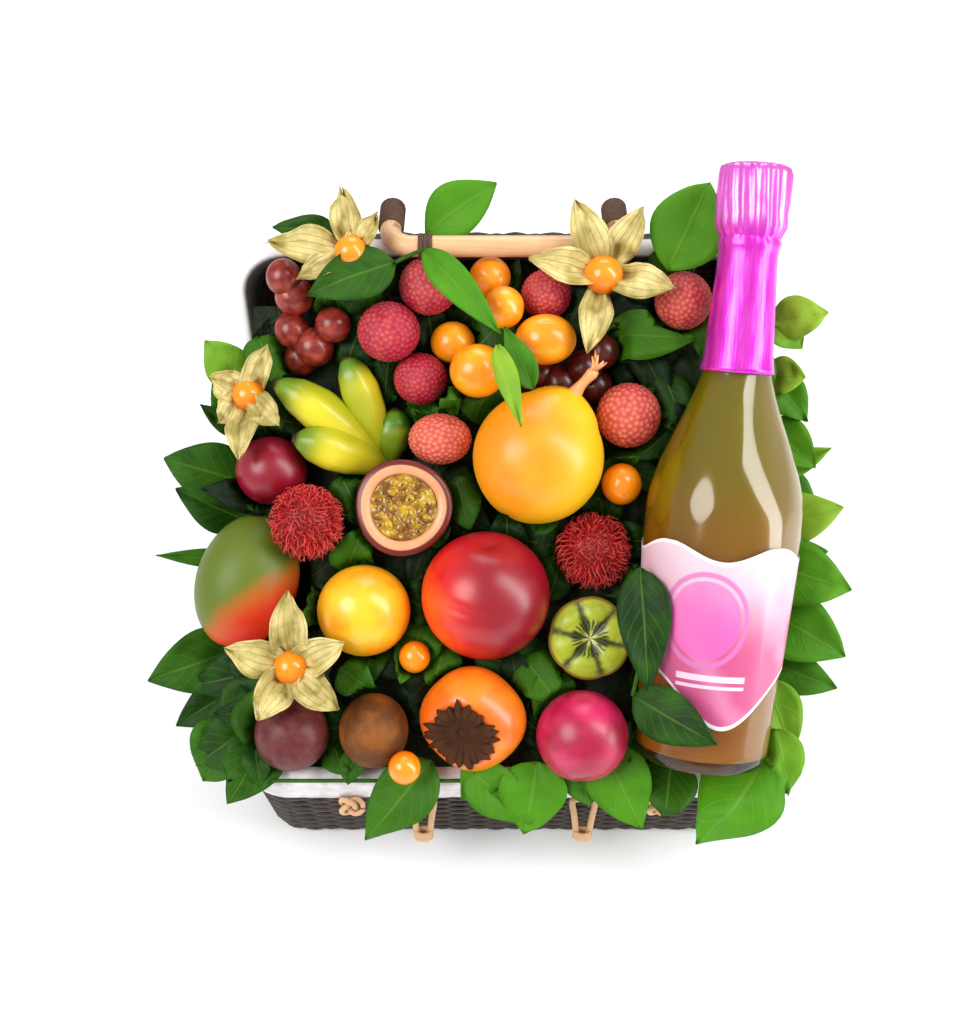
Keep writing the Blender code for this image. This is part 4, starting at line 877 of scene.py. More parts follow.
class BASKET_OT_cloth(BasketOperator, bpy.types.Operator):
    """Folds the cloth liner over both rims"""

    bl_idname = "basket.cloth"
    bl_label = "Cloth liner"

    def execute(self, context):
        colours = self.colours(context)
        sizes = self.sizes(context)
        shader = Shader("Liner cloth")
        threads = shader.noise(60.0, 2.0)
        folds = shader.noise(1.6, 3.0)
        shade = shader.mix(folds.between(0.3, 0.7), scaled(colours.cloth, 0.80), colours.cloth)
        shader.set(base_color=shade, roughness=0.95)
        shader.bump(threads * 0.3 + folds, 0.35, 0.0012)
        self.base(sizes, shader)
        band = Shader("Lid cloth")
        shade = band.attribute("shade")
        weave = band.noise(1.2, 3.0)
        # Painted shade: dark greys on the white cloth, except where the shade attribute keeps the band at
        # the rim white.
        dark = band.mix(weave, srgb(36, 34, 30), srgb(70, 68, 62))
        band.set(base_color=band.mix(shade.between(0.2, 0.8), dark, colours.cloth), roughness=0.95)
        self.lid(sizes, band)
        return {"FINISHED"}

    @staticmethod
    def rumple(bm, rows, amount):
        """Gives the cloth soft gathers, stronger towards its hems."""
        for number, row in enumerate(rows):
            for vert, (_, x, y) in zip(row, round_steps(len(row))):
                wave = noise(Vector((x * 9, y * 9, number * 0.25)))
                fine = noise(Vector((x * 34, y * 34, number * 0.4)))
                vert.co += Vector((x, y, 0)) * amount * (wave * 0.6 + fine * 0.6)

    def base(self, sizes, shader):
        """The cloth lies on the base's floor and walls, and its hem hangs outside."""
        rim = Rim(sizes.corner)
        top = box_of("basket_tray")[1].z
        hem_length = 0.021
        hem = box_of("tray_liner")[1].z - top + hem_length

        def inset(height, depth):
            return sizes.base_flare * (1 - height / top) + depth

        def face(gap, floor, foot):
            """One face of the cloth, from the floor over the rim and down to the hem."""
            bend = top - CLOTH_BEND
            found = [(inset(0.010, 0.0105 + gap), floor), (inset(foot, sizes.wall + gap), foot),
                     (inset(bend, sizes.wall + gap), bend), (sizes.wall - CLOTH_TURN + gap, top + gap),
                     (CLOTH_TURN - gap, top + gap), (inset(bend, -gap - BAND_GAP), bend)]
            heights = [top - step * hem / 5 for step in range(1, 6)]
            return found + [(inset(height, -gap - BAND_GAP), height) for height in heights]
        rings = face(CLOTH_GAP, 0.0075, 0.012) + face(CLOTH_GAP + sizes.cloth, 0.0093, 0.013)[::-1]
        bm = new_bmesh()
        rows = add_shell(bm, rim, rings, 220, unmoved)
        hem_rows = rows[6:-6]
        self.rumple(bm, hem_rows, 0.0007)
        finished(bm, "base_cloth", shader, BASKET, ["tray_liner"])

    def lid(self, sizes, shader):
        """The cloth is a band over the lid's rim. Painted shade makes it dark grey on its inner side and
        where it hangs further down outside, and only the band at the rim stays white.
        """
        rim = Rim(sizes.corner)
        bottom, top = lid_reach()

        def inset(height, depth):
            return sizes.lid_flare * (height - bottom) / (top - bottom) + depth

        def face(gap, turned_in):
            """One face of the band, from its inner edge over the rim and down to its outer edge."""
            edge, bend = bottom + 0.011, bottom + CLOTH_BEND
            found = [(inset(edge, sizes.wall + gap), edge), (inset(bend, sizes.wall + gap), bend),
                     (sizes.wall - CLOTH_TURN + turned_in, bottom - gap),
                     (CLOTH_TURN - turned_in, bottom - gap), (inset(bend, -gap - BAND_GAP), bend)]
            heights = [bottom + depth for depth in (0.009, 0.015, 0.020)]
            return found + [(inset(height, -gap - BAND_GAP), height) for height in heights]
        far = CLOTH_GAP + sizes.cloth
        rings = face(CLOTH_GAP, 0.0) + face(far, far)[::-1]
        bm = new_bmesh()
        rows = add_shell(bm, rim, rings, 200, lid_place(), closed=True)
        # Shade 1 keeps the cloth white at the rim; 0 paints it dark grey as shade.
        for row, (depth, height) in zip(rows, rings):
            set_shade(bm, row, 1.0 if depth < sizes.wall * 0.5 and height < bottom + 0.012 else 0.0)
        finished(bm, "lid_cloth", shader, LID, ["lid_liner"])


def rattan_shader(colours):
    shader = Shader("Rattan")
    grain = shader.noise(1.4, 4.0, stretch=(3.0, 3.0, 0.12))
    nodes = shader.noise(0.35, 1.0, stretch=(0.2, 0.2, 0.5))
    pale = shader.mix(grain, scaled(colours.rattan, 0.72), scaled(colours.rattan, 1.15))
    knotted = shader.mix(nodes.between(0.62, 0.75) * 0.4, pale, srgb(150, 92, 52))
    shader.set(base_color=knotted, roughness=0.38)
    return shader.bump(grain, 0.15, 0.0003)


class BASKET_OT_rattan(BasketOperator, bpy.types.Operator):
    """Bends the handle, the loops, the knots and the hinge cord"""

    bl_idname = "basket.rattan"
    bl_label = "Rattan fittings"

    def execute(self, context):
        shader = rattan_shader(self.colours(context))
        self.handle(shader)
        for side, name in ((-1, "left"), (1, "right")):
            self.loop(shader, name)
            self.knot(shader, name, side)
        self.hinge(shader)
        return {"FINISHED"}

    def handle(self, shader):
        """A bar on two bowed legs, with a wrapping where each leg meets its foot."""
        place = lid_place()
        bottom, _ = lid_reach()
        half = box_of("lid_handle")[1].x - HANDLE_RADIUS
        y, bar_z, top_z = box_of("basket_tray")[0].y - 0.009, bottom - 0.012, bottom + 0.029
        bend_z = bar_z + HANDLE_BEND
        path = [(-half, y, top_z), (-half, y, bend_z)]
        for side, start in ((-1, 180), (1, 270)):
            for step in range(7):
                angle = math.radians(start + 15 * step)
                path.append((side * (half - HANDLE_BEND) + HANDLE_BEND * math.cos(angle), y,
                             bend_z + HANDLE_BEND * math.sin(angle)))
        path += [(half, y, bend_z), (half, y, top_z)]
        bm, bindings = new_bmesh(), new_bmesh()
        add_tube(bm, [place(Vector(point)) for point in path], HANDLE_RADIUS, 20)
        across, ahead, up = (Vector(line) * BINDING_REACH for line in Matrix.Identity(3))
        for side in (-1, 1):
            foot = [(side * half, y, top_z - 0.004), (side * half, y + 0.0155, top_z - 0.001)]
            add_tube(bm, [place(Vector(point)) for point in foot], 0.0040, 14)
            for turn in range(9):
                middle = Vector((side * half, y, top_z - 0.021 + turn * 0.0026))
                add_binding(bindings, place, middle, across, ahead, BINDING_RADIUS, 16)
            for turn in range(3):
                middle = Vector((side * (half - 0.018 - 0.0028 * turn), y, bar_z))
                add_binding(bindings, place, middle, ahead, up, BINDING_RADIUS, 16)
        finished(bm, "carry_handle", shader, LID, ["lid_handle"])
        bound = Shader("Binding")
        grain = bound.place_noise(8.0, 3.0, 40.0)
        bound.set(base_color=bound.mix(grain, srgb(44, 28, 20), srgb(104, 66, 44)), roughness=0.7)
        finished(bindings, "handle_bindings", bound, LID, ())

    def loop(self, shader, name):
        """A cane loop whose two legs run together into a bound tail."""
        low, high = box_of("clasp_loop_" + name)
        middle = (low.x + high.x) / 2
        radius = 0.0021
        top, bottom, near, tail = high.z - radius, low.z + radius, high.y - radius, low.y + radius
        half = [(0.0050, near, top), (0.0070, near - 0.0004, top - 0.003),
                (0.0055, near - 0.004, top - 0.013), (0.0036, tail, bottom + 0.006),
                (0.0028, tail, bottom + 0.002), (0.0, tail, bottom)]
        points = [(middle + x, y, z) for x, y, z in half]
        points += [(middle - x, y, z) for x, y, z in reversed(half[:-1])]
        bm = new_bmesh()
        add_tube(bm, smooth_path(points, 5, closed=True), radius * 0.95, 12, closed=True)
        wide, deep = Vector((0.0050, 0, 0)), Vector((0, 0.0026, 0))
        for turn in range(4):
            spot = Vector((middle, tail + 0.0002, bottom + 0.0035 + turn * 0.0022))
            add_binding(bm, unmoved, spot, wide, deep, 0.0012, 14)
        finished(bm, "closing_loop_" + name, shader, BASKET, ["clasp_loop_" + name])

    def knot(self, shader, name, side):
        """A cane tied round itself, so that it crosses three times and leaves two dark eyes."""
        node = "rim_knot_" + name
        middle, size = middle_of(node), size_of(node)
        points = []
        for angle, _, _ in round_steps(72):
            reach = 2.0 + math.cos(3 * angle)
            x = reach * math.cos(2 * angle) * size.x / 6.6
            z = reach * math.sin(2 * angle) * size.z / 6.6
            points.append((middle.x + x, middle.y + math.sin(3 * angle) * size.y * 0.22, middle.z + z))
        bm = new_bmesh()
        add_tube(bm, points, 0.0017, 9, closed=True)
        if side > 0:
            top = Vector((middle.x, middle.y, box_of(node)[1].z))
            steps = ((0.0, 0.001, -0.004), (-0.003, 0.0005, 0.008), (-0.002, 0.001, 0.018))
            add_tube(bm, smooth_path([top + Vector(step) for step in steps], 5), 0.0006, 6)
        finished(bm, "tied_knot_" + name, shader, BASKET, [node])

    def hinge(self, shader):
        low, high = box_of("hinge_cord")
        radius = (high.z - low.z) / 2
        bm = new_bmesh()
        middle, steps = (low + high) / 2, 48
        points = [(low.x + (high.x - low.x) * step / steps, middle.y, middle.z) for step in range(steps + 1)]
        add_tube(bm, points, radius, 12)
        finished(bm, "hinge_cane", shader, BASKET, ["hinge_cord"])


class Heap:
    """Round things on the slope, so that leaves and husks can lie over or under them."""

    ROUND = ("lychee", "kumquat", "berry", "plum", "passion_fruit_w", "passion_fruit_s", "granadilla",
             "mango", "yellow", "nectarine", "kiwi", "rambutan", "persimmon")

    def __init__(self):
        back = on_slope().inverted()
        self.balls = []
        for node in frame["nodes"]:
            if node.startswith(self.ROUND):
                size = size_of(node)
                self.balls.append((back @ middle_of(node), max(size) / 2))
        axis = BOTTLE_TOP - BOTTLE_HEEL
        for step in range(40):
            share = step / 39
            self.balls.append((BOTTLE_HEEL + axis * share, bottle_radius(share * axis.length) + 0.0005))
        for tip, belly, radius, _ in BANANAS:
            path = bow(tip, belly, BANANA_CROWN, 8)
            self.balls += [(point, radius * banana_width(index / 8)) for index, point in enumerate(path)]
        for berries in GRAPES.values():
            self.balls += [(Vector(berry[:3]), berry[3]) for berry in berries]

    def top(self, spot, reach=0.003):
        return max((middle + rise for middle, rise in self.near(spot, reach)), default=None)

    def under(self, spot, reach=0.003):
        return min((middle - rise for middle, rise in self.near(spot, reach)), default=None)

    def near(self, spot, reach):
        """Height of the middle and half the thickness of each round thing above or under a spot."""
        for middle, radius in self.balls:
            away = max(math.hypot(spot.x - middle.x, spot.y - middle.y) - reach, 0.0)
            if away < radius:
                yield middle.z, math.sqrt(radius ** 2 - away ** 2)


def over_rim(spot):
    """Lifts a point of a leaf that would cut the hamper's rim."""
    low, high = box_of("tray_liner")
    world = on_slope() @ spot
    clear, fall = 0.003, 0.026
    ahead = max(low.y - clear - world.y, 0.0)
    if abs(world.x) < high.x + clear and world.y < high.y + clear and world.z < high.z + clear:
        spot.z += (high.z + clear - world.z) / math.cos(SLOPE_LEAN) * max(1 - ahead / fall, 0.0)


def leaf_width(share, widest):
    """Width of a leaf at a share of its length, as a share of its width at its widest place."""
    power = math.log(0.5) / math.log(widest)
    return math.sin(math.pi * share ** power) ** 0.92 if 0 < share < 1 else 0.0


def add_blade(bm, start, tip, width, lift=0.006, fold=0.16, wave=0.0012, rows=16, columns=8, widest=0.36,
              thick=0.0008, lie=None, heap=None, phase=0.0, shade=0.5, stalk=0.0010, crumple=0.0,
              facing=(0, 0, 1)):
    """Adds a leaf or petal, placed on the slope. Its own coordinates run across and along it."""
    start, tip, facing = Vector(start), Vector(tip), Vector(facing)
    middle = (start + tip) / 2 + facing * lift * 2
    slope = on_slope()
    shift = slope.to_3x3() @ facing * thick
    grid = []
    for row in range(rows + 1):
        t = row / rows
        spot = start * (1 - t) ** 2 + middle * 2 * t * (1 - t) + tip * t * t
        along = ((middle - start) * (1 - t) + (tip - middle) * t).normalized()
        sideways = along.cross(facing).normalized()
        normal = sideways.cross(along).normalized()
        half = max(width / 2 * leaf_width(t, widest), stalk * (1 - t) + 0.0004 * t)
        line = []
        for column in range(columns + 1):
            across = 2 * column / columns - 1
            edge = abs(across)
            point = spot + sideways * across * half + normal * edge * half * fold
            point += normal * wave * edge * math.sin(9 * t + 2.1 * across + phase) * min(half / 0.008, 1)
            dent = noise(Vector((across * 1.3, t * 3.2, phase * 3.7)))
            dent += 0.4 * noise(Vector((across * 4, t * 9, phase)))
            point += normal * (crumple * dent - 0.0005 * math.exp(-(across / 0.16) ** 2))
            if lie == "over" and t > 0.12:
                height = heap.top(point)
                point.z = point.z if height is None else max(point.z, height + LEAF_GAP)
            if lie == "under":
                height = heap.under(point)
                point.z = point.z if height is None else min(point.z, height - LEAF_GAP)
            over_rim(point)
            placed = slope @ point
            line.append((placed + shift * 0.5, placed - shift * 0.5, (across, t, phase)))
        grid.append(line)
    set_shade(bm, add_sheet(bm, grid), shade)


def leaf_shader(colours):
    shader = Shader("Leaf")
    across, along = shader.own("X"), shader.own("Y")
    side = abs(across)
    ribs = abs(((along * 7.0 - side * 2.4).fraction() - 0.5) * 2.0)
    vein = ribs.between(0.82, 0.99) * side.between(0.04, 0.14) * (1.0 - side.between(0.72, 0.95))
    midrib = 1.0 - side.between(0.02, 0.07)
    patches = shader.place_noise(1.0, 4.0, 60.0)
    shade = shader.attribute("shade") + (patches - 0.5) * 0.6
    green = shader.mix(shade.clamped(), colours.leaf_dark, colours.leaf_bright)
    lit = shader.mix((shade - 1.0).clamped(), green, colours.leaf_lime)
    veined = shader.mix((vein * 0.3 + midrib * 0.55).clamped() * 0.4, lit, srgb(124, 160, 54))
    # Shades below 0.1 darken the leaf towards near black: painted shade in the gaps between the fruit.
    with_painted_gap_shade = shader.mix((0.1 - shade).between(0.0, 0.7) * 0.8, veined, srgb(5, 18, 3))
    shader.set(base_color=with_painted_gap_shade, roughness=0.44 + patches * 0.2, specular_ior_level=0.18)
    return shader.bump(vein * 0.5 + midrib * 0.8 + patches * 0.8, 0.4, 0.0007)


class BASKET_OT_leaves(BasketOperator, bpy.types.Operator):
    """Grows the leaves round the heap and between the fruit"""

    bl_idname = "basket.leaves"
    bl_label = "Leaves"

    def execute(self, context):
        sizes = self.sizes(context)
        shader = leaf_shader(self.colours(context))
        heap = Heap()
        for name, (twig, leaves) in SPRIGS.items():
            lie = "over" if name in DRAPED_SPRIGS else "under" if name in TUCKED_SPRIGS else None
            bm = new_bmesh()
            stem = [on_slope() @ Vector(point) for point in twig]
            set_shade(bm, add_tube(bm, smooth_path(stem, 4), 0.0012, 7), 0.3)
            for number, (joint, tip, width, lift, shade) in enumerate(leaves):
                foot = twig[joint] if isinstance(joint, int) else joint
                add_blade(bm, foot, tip, width, lift, lie=lie, heap=heap, phase=1.7 * number, shade=shade,
                          thick=sizes.leaf, crumple=0.0022)
            finished(bm, "sprig_" + name[7:], shader, BASKET, [name])
        for name, (body, start, tip, width, phase) in LONE_LEAVES.items():
            bm = new_bmesh()
            add_blade(bm, start, tip, width, 0.005, heap=heap, phase=phase, shade=0.95, thick=sizes.leaf,
                      widest=0.42, crumple=0.001)
            finished(bm, "grown_" + name, shader, body, [name])
        bm = new_bmesh()
        for number, (start, tip, width, shade) in enumerate(FILLING_LEAVES):
            add_blade(bm, start, tip, width * 1.15, 0.004, lie="over" if shade > 0.6 else "under", heap=heap,
                      phase=0.9 * number, shade=shade, thick=sizes.leaf, rows=14, columns=6, crumple=0.0015)
        self.scatter(bm, heap, sizes)
        self.scatter_sides(bm, sizes)
        finished(bm, "leaves_between", shader, BASKET, ())
        return {"FINISHED"}

    @staticmethod
    def scatter(bm, heap, sizes):
        """Small leaves cover the packing wherever no fruit lies over it; their low shades paint them dark,
        as shade in the gaps between the fruit.
        """
        chance = random.Random(21)
        rows, columns = 17, 15
        left, wide, foot, tall = -0.156, 0.306, 0.026, 0.270
        for row in range(rows):
            for column in range(columns):
                across = left + wide * (column + chance.random()) / columns
                up = foot + tall * (row + chance.random()) / rows
                spot = Vector((across, up, chance.uniform(-0.005, 0.004)))
                turn = chance.uniform(0, 2 * math.pi)
                reach = Vector((math.cos(turn), math.sin(turn), 0.1)) * chance.uniform(0.016, 0.025)
                width, shade = chance.uniform(0.018, 0.027), chance.uniform(-0.7, 0.2)
                bare_corner = across < -0.116 and up > 0.222
                if heap.top(spot, 0.0) is None and not bare_corner:
                    add_blade(bm, spot - reach, spot + reach, width, 0.003, lie="under", heap=heap,
                              phase=row + column, shade=shade, thick=sizes.leaf, rows=10, columns=4,
                              crumple=0.002)

    @staticmethod
    def scatter_sides(bm, sizes):
        """Leaves hang over both sides of the packing, in front of the lid."""
        chance = random.Random(34)
        back = on_slope().inverted()
        low, high = box_of("filler_bed")
        rim = box_of("tray_liner")[1].z + 0.014
        lid_front = box_of("lid_liner")[0].y - 0.016
        turned = back.to_3x3()
        rows, columns, edge = 8, 12, 0.006
        for side in (-1, 1):
            for row in range(rows):
                for column in range(columns):
                    y = low.y + (high.y - low.y) * (column + chance.random()) / columns
                    z = rim + (high.z - rim) * (row + chance.random()) / rows
                    ahead, down = chance.uniform(-0.016, 0.012), chance.uniform(0.024, 0.034)
                    fall = Vector((side * 0.004, ahead, -down))
                    width, shade = chance.uniform(0.024, 0.032), chance.uniform(-0.3, 0.5)
                    foot = Vector((side * (high.x - 0.002), y, z))
                    if (back @ foot).z < -edge and y < lid_front:
                        add_blade(bm, back @ foot, back @ (foot + fall), width, 0.003,
                                  phase=row * 9 + column, shade=shade, thick=sizes.leaf, rows=10, columns=4,
                                  crumple=0.0015, fold=-0.1, facing=turned @ Vector((side, 0, 0.15)))


class BASKET_OT_husks(BasketOperator, bpy.types.Operator):
    """Opens the papery husks round their orange berries"""

    bl_idname = "basket.husks"
    bl_label = "Husked berries"

    def execute(self, context):
        colours = self.colours(context)
        husk = Shader("Husk")
        side = abs(husk.own("X"))
        patches = husk.place_noise(1.0, 4.0, 70.0)
        lines = abs(((side * 3.0 + patches * 0.8).fraction() - 0.5) * 2.0).between(0.80, 0.99)
        foot = 1.0 - husk.own("Y").between(0.05, 0.35)
        paper = husk.mix(patches.between(0.3, 0.7), srgb(158, 142, 66), colours.husk)
        veined = husk.mix(lines * 0.4 + foot * 0.5, paper, srgb(126, 112, 40))
        husk.set(base_color=veined, roughness=0.6)
        husk.bump(lines * 0.6 + patches * 2.0, 0.6, 0.0009)
        berry = berry_shader(colours)
        heap = Heap()
        for name, (radius, petals, middle) in HUSKS.items():
            foot = Vector(middle) - Vector((0, 0, radius * 0.72))
            spot = name.removeprefix("physalis_")
            bm = new_bmesh()
            for number, (tip, width) in enumerate(petals):
                add_blade(bm, foot, tip, width * 1.12, 0.006, fold=0.34, wave=0.0030, widest=0.48,
                          thick=0.0005, lie="over", heap=heap, phase=number * 1.9 + radius * 900,
                          stalk=0.003, rows=20, columns=12, crumple=0.0062)
            finished(bm, "husk_" + spot, husk, BASKET, ())
            bm = new_bmesh()
            add_ball(bm, 4, Matrix.Translation(on_slope() @ Vector(middle)) @ Matrix.Scale(radius, 4))
            finished(bm, "berry_in_" + spot, berry, BASKET, [name])
        return {"FINISHED"}


def berry_shader(colours):
    shader = Shader("Orange berry")
    # Painted light and shade: the berry is lighter towards its own top and darker below.
    painted_light_side = shader.own("Z").between(-0.9, 0.8)
    patches = shader.noise(2.0, 3.0)
    skin = shader.mix(painted_light_side, srgb(222, 84, 4), colours.berry)
    flecked = shader.mix(patches.between(0.5, 0.8) * 0.4, skin, srgb(255, 180, 40))
    shader.set(base_color=flecked, roughness=0.22, coat_weight=0.4, coat_roughness=0.12)
    return shader.bump(shader.noise(26.0, 2.0), 0.06, 0.0004)


def dimples(*spots):
    """Shape function that sinks small hollows round some directions: direction, depth and spread."""
    spots = [(Vector(direction).normalized(), depth, spread) for direction, depth, spread in spots]

    def shape(unit):
        return 1.0 - sum(depth * math.exp(-(unit.angle(direction, 0.0) / spread) ** 2)
                         for direction, depth, spread in spots)
    return shape


class BASKET_OT_round_fruit(BasketOperator, bpy.types.Operator):
    """Makes the round fruit with a whole skin"""

    bl_idname = "basket.round_fruit"
    bl_label = "Round fruit"

    def execute(self, context):
        colours = self.colours(context)
        self.lychees(colours)
        self.kumquats(colours)
        self.grapes(colours)
        self.plums(colours)
        self.nectarine(colours)
        self.brown_fruit(colours)
        return {"FINISHED"}

    def ball(self, name, node, shader, slot, detail=5, shape=None, turn=(0, 0, 0), shade_of=None):
        """One round body that fills its node's box, with its own pole turned as asked on the slope."""
        bm = new_bmesh()
        matrix = Matrix.Translation(middle_of(node)) @ Matrix.Rotation(SLOPE_LEAN, 4, "X") @ turned_by(*turn)
        add_ball(bm, detail, matrix @ Matrix.Scale(max(size_of(node)) / 2, 4), shape)
        fit_to(bm, node)
        if shade_of:
            own, shade = bm.verts.layers.float_vector["own"], bm.verts.layers.float["shade"]
            for vert in bm.verts:
                vert[shade] = shade_of(vert[own])
        finished(bm, name, shader, BASKET, [node])

    def lychees(self, colours):
        """Skin of small raised bumps; the skin between them is painted darker, as shade in the crevices."""
        ripeness = (0.95, 0.8, 1.0, 0.1, 0.7, 0.45, 0.3)
        for number, ripe in enumerate(ripeness, 1):
            shader = Shader(f"Lychee {number}")
            blush = (shader.noise(1.2, 2.0).between(0.35, 0.65) * 0.5 + (ripe - 0.2)).clamped()
            low = shader.mix(blush, colours.lychee_pale, colours.lychee)
            high = shader.mix(blush, colours.lychee_pale_tip, colours.lychee_tip)
            # The shade attribute says how near a bump is; the skin between the bumps is painted darker, as
            # shade.
            shader.set(base_color=shader.mix(shader.attribute("shade") * 0.75, low, high), roughness=0.55)
            shader.bump(shader.noise(34.0, 2.0), 0.15, 0.0004)
            tree = self.plate_middles(330, number)

            def raised(unit, tree=tree):
                return math.exp(-(tree.find(unit)[2] / 0.072) ** 2)
            self.ball(f"fruit_lychee_{number}", f"lychee_{number}", shader, "lychee_skin", 6,
                      lambda unit, raised=raised: 0.97 + 0.036 * raised(unit), shade_of=raised)

    @staticmethod
    def plate_middles(count, seed):
        """A search tree of evenly spread directions with a little disorder."""
        chance = random.Random(seed)
        tree = KDTree(count)
        for index in range(count):
            spot = spread_direction(index, count) + jitter(chance, 0.03)
            tree.insert(spot.normalized(), index)
        tree.balance()
        return tree

    def kumquats(self, colours):
        peel = Shader("Kumquat peel")
        pores = peel.cells(13.0)
        tone = peel.noise(1.1, 2.0)
        skin = peel.mix(tone.between(0.35, 0.7), colours.kumquat, srgb(255, 168, 26))
        peel.set(base_color=skin, roughness=0.28, coat_weight=0.35, coat_roughness=0.15)
        peel.bump(pores.between(0.0, 0.35), 0.22, 0.0005)
        for number in range(1, 6):
            turn = (60 + 10 * number, 0, 40 * number)
            self.ball(f"fruit_kumquat_{number}", f"kumquat_{number}", peel, "kumquat_skin", 5,
                      dimples(((0, 0, 1), 0.05, 0.16)), turn)
        shader = berry_shader(colours)
        for node in ("berry_right", "berry_middle", "berry_front"):
            self.ball("fruit_" + node, node, shader, "orange_berry", 5, dimples(((0, -0.2, 1), 0.03, 0.12)),
                      (25, 10, 0))

    def grapes(self, colours):
        for node, berries in GRAPES.items():
            shader = Shader("Grape " + node)
            bloom = shader.noise(1.7, 3.0)
            # The middle bunch lies deep between the fruit, so both its colours are darkened to a third:
            # painted shade.
            dark = 0.35 if node == "grapes_middle" else 1.0
            lit = scaled(srgb(168, 62, 44), dark)
            skin = shader.mix(bloom.between(0.3, 0.7), scaled(colours.grape, dark), lit)
            shader.set(base_color=skin, roughness=0.3, coat_weight=0.12, coat_roughness=0.15,
                       subsurface_weight=0.3, subsurface_radius=(0.006, 0.001, 0.001))
            bm = new_bmesh()
            for number, (across, up, out, radius) in enumerate(berries):
                matrix = on_slope() @ moved(across, up, out) @ turned_by(20 * number, 30 * number, 0)
                add_ball(bm, 4, matrix @ stretched(radius, radius, radius * 1.04),
                         dimples(((0, 0, 1), 0.05, 0.2)))
            finished(bm, "fruit_" + node, shader, BASKET, [node])

    def plums(self, colours):
        for node, tint in (("plum_left", 0.45), ("plum_front", 1.0)):
            shader = Shader("Plum " + node)
            cloud = shader.noise(1.5, 4.0)
            lit = scaled(srgb(206, 36, 92), tint)
            skin = shader.mix(cloud.between(0.3, 0.75), scaled(colours.plum, tint), lit)
            red = shader.mix(1.0 - tint, skin, srgb(150, 8, 26))
            shader.set(base_color=red, roughness=0.36, coat_weight=0.15, coat_roughness=0.28)
            shader.bump(cloud, 0.05, 0.0006)
            self.ball("fruit_" + node, node, shader, "plum_skin", 5,
                      dimples(((0, -0.75, 0.66), 0.06, 0.22), ((0, 0.3, -1), 0.05, 0.4)), (20, 8, 0))
        shader = Shader("Yellow plum")
        cloud = shader.noise(1.6, 3.0)
        skin = shader.mix(cloud.between(0.35, 0.7), colours.yellow_plum, srgb(255, 158, 24))
        shader.set(base_color=skin, roughness=0.3, coat_weight=0.25, coat_roughness=0.2)
        shader.bump(shader.noise(24.0, 2.0), 0.08, 0.0004)
        self.ball("fruit_yellow_plum", "yellow_plum", shader, "yellow_plum_skin", 5,
                  dimples(((-0.5, -0.55, 0.62), 0.04, 0.25)), (10, 0, 0))

    def nectarine(self, colours):
        """A crease runs over the fruit from its stalk to its point, and one side of it is lighter."""
        shader = Shader("Nectarine")
        across, up = shader.own("X"), shader.own("Y")
        streaks = shader.noise(1.6, 4.0, stretch=(1.0, 1.2, 1.0), rough=0.5)
        light = (0.20 - across * 1.15 + (streaks - 0.5) * 0.8 - up * 0.2).between(0.0, 1.0)
        warmth = (-0.45 - across + (streaks - 0.5) * 0.7 - up * 0.35).between(0.0, 0.5)
        skin = shader.mix(light, colours.nectarine, srgb(214, 18, 20))
        warm = shader.mix(warmth, skin, colours.nectarine_light)
        blush = (up * 0.8 + across * 0.3 - 0.25 + (streaks - 0.5) * 0.5).between(0.0, 0.6) * 0.35
        shader.set(base_color=shader.mix(blush, warm, srgb(196, 22, 48)), roughness=0.36,
                   coat_weight=0.25, coat_roughness=0.28)

        def creased(unit):
            bend = unit.y + 0.30 + 0.16 * unit.x - 0.25 * unit.x * unit.x
            shown = max(unit.z, 0.0) * min(max(0.45 - unit.x, 0.0), 1.0)
            groove = 0.040 * math.exp(-(bend / 0.10) ** 2) * shown
            stalk = 0.10 * math.exp(-((unit - Vector((0.05, 0.86, 0.5))).length / 0.25) ** 2)
            return 1.0 - groove - stalk
        self.ball("fruit_nectarine", "nectarine", shader, "nectarine_skin", 6, creased)

    def brown_fruit(self, colours):
        skin = Shader("Passion fruit skin")
        spots = skin.noise(4.0, 4.0)
        tone = skin.mix(spots.between(0.2, 0.9), colours.passion, srgb(112, 56, 52))
        skin.set(base_color=tone, roughness=0.42, specular_ior_level=0.3)
        skin.bump(skin.noise(5.0, 3.0), 0.15, 0.0008)
        self.ball("fruit_passion_whole", "passion_fruit_whole", skin, "passion_skin", 5,
                  dimples(((0.2, 0.4, 0.9), 0.04, 0.2)))
        down = Shader("Kiwi skin")
        hairs = down.noise(26.0, 4.0, stretch=(1.0, 1.0, 0.3))
        light = down.noise(1.6, 3.0).between(0.35, 0.7)
        brown = down.mix(light, scaled(colours.kiwi_skin, 0.55), srgb(148, 84, 20))
        tone = down.mix(hairs * 0.5, brown, scaled(colours.kiwi_skin, 0.4))
        down.set(base_color=tone, roughness=0.6, specular_ior_level=0.3)
        down.bump(hairs, 0.4, 0.0006)
        self.ball("fruit_kiwi_whole", "kiwi_whole", down, "kiwi_skin", 5,
                  dimples(((0, 0.5, 0.8), 0.06, 0.2)), (65, 0, 10))


def banana_width(share):
    """Width of a banana at a share of its length from the tip, as a share of its widest."""
    stops = (0.28, 0.80, 1.0, 0.95, 0.72, 0.45)
    spot = min(max(share, 0.0), 0.9999) * (len(stops) - 1)
    index = int(spot)
    return stops[index] + (stops[index + 1] - stops[index]) * (spot - index)


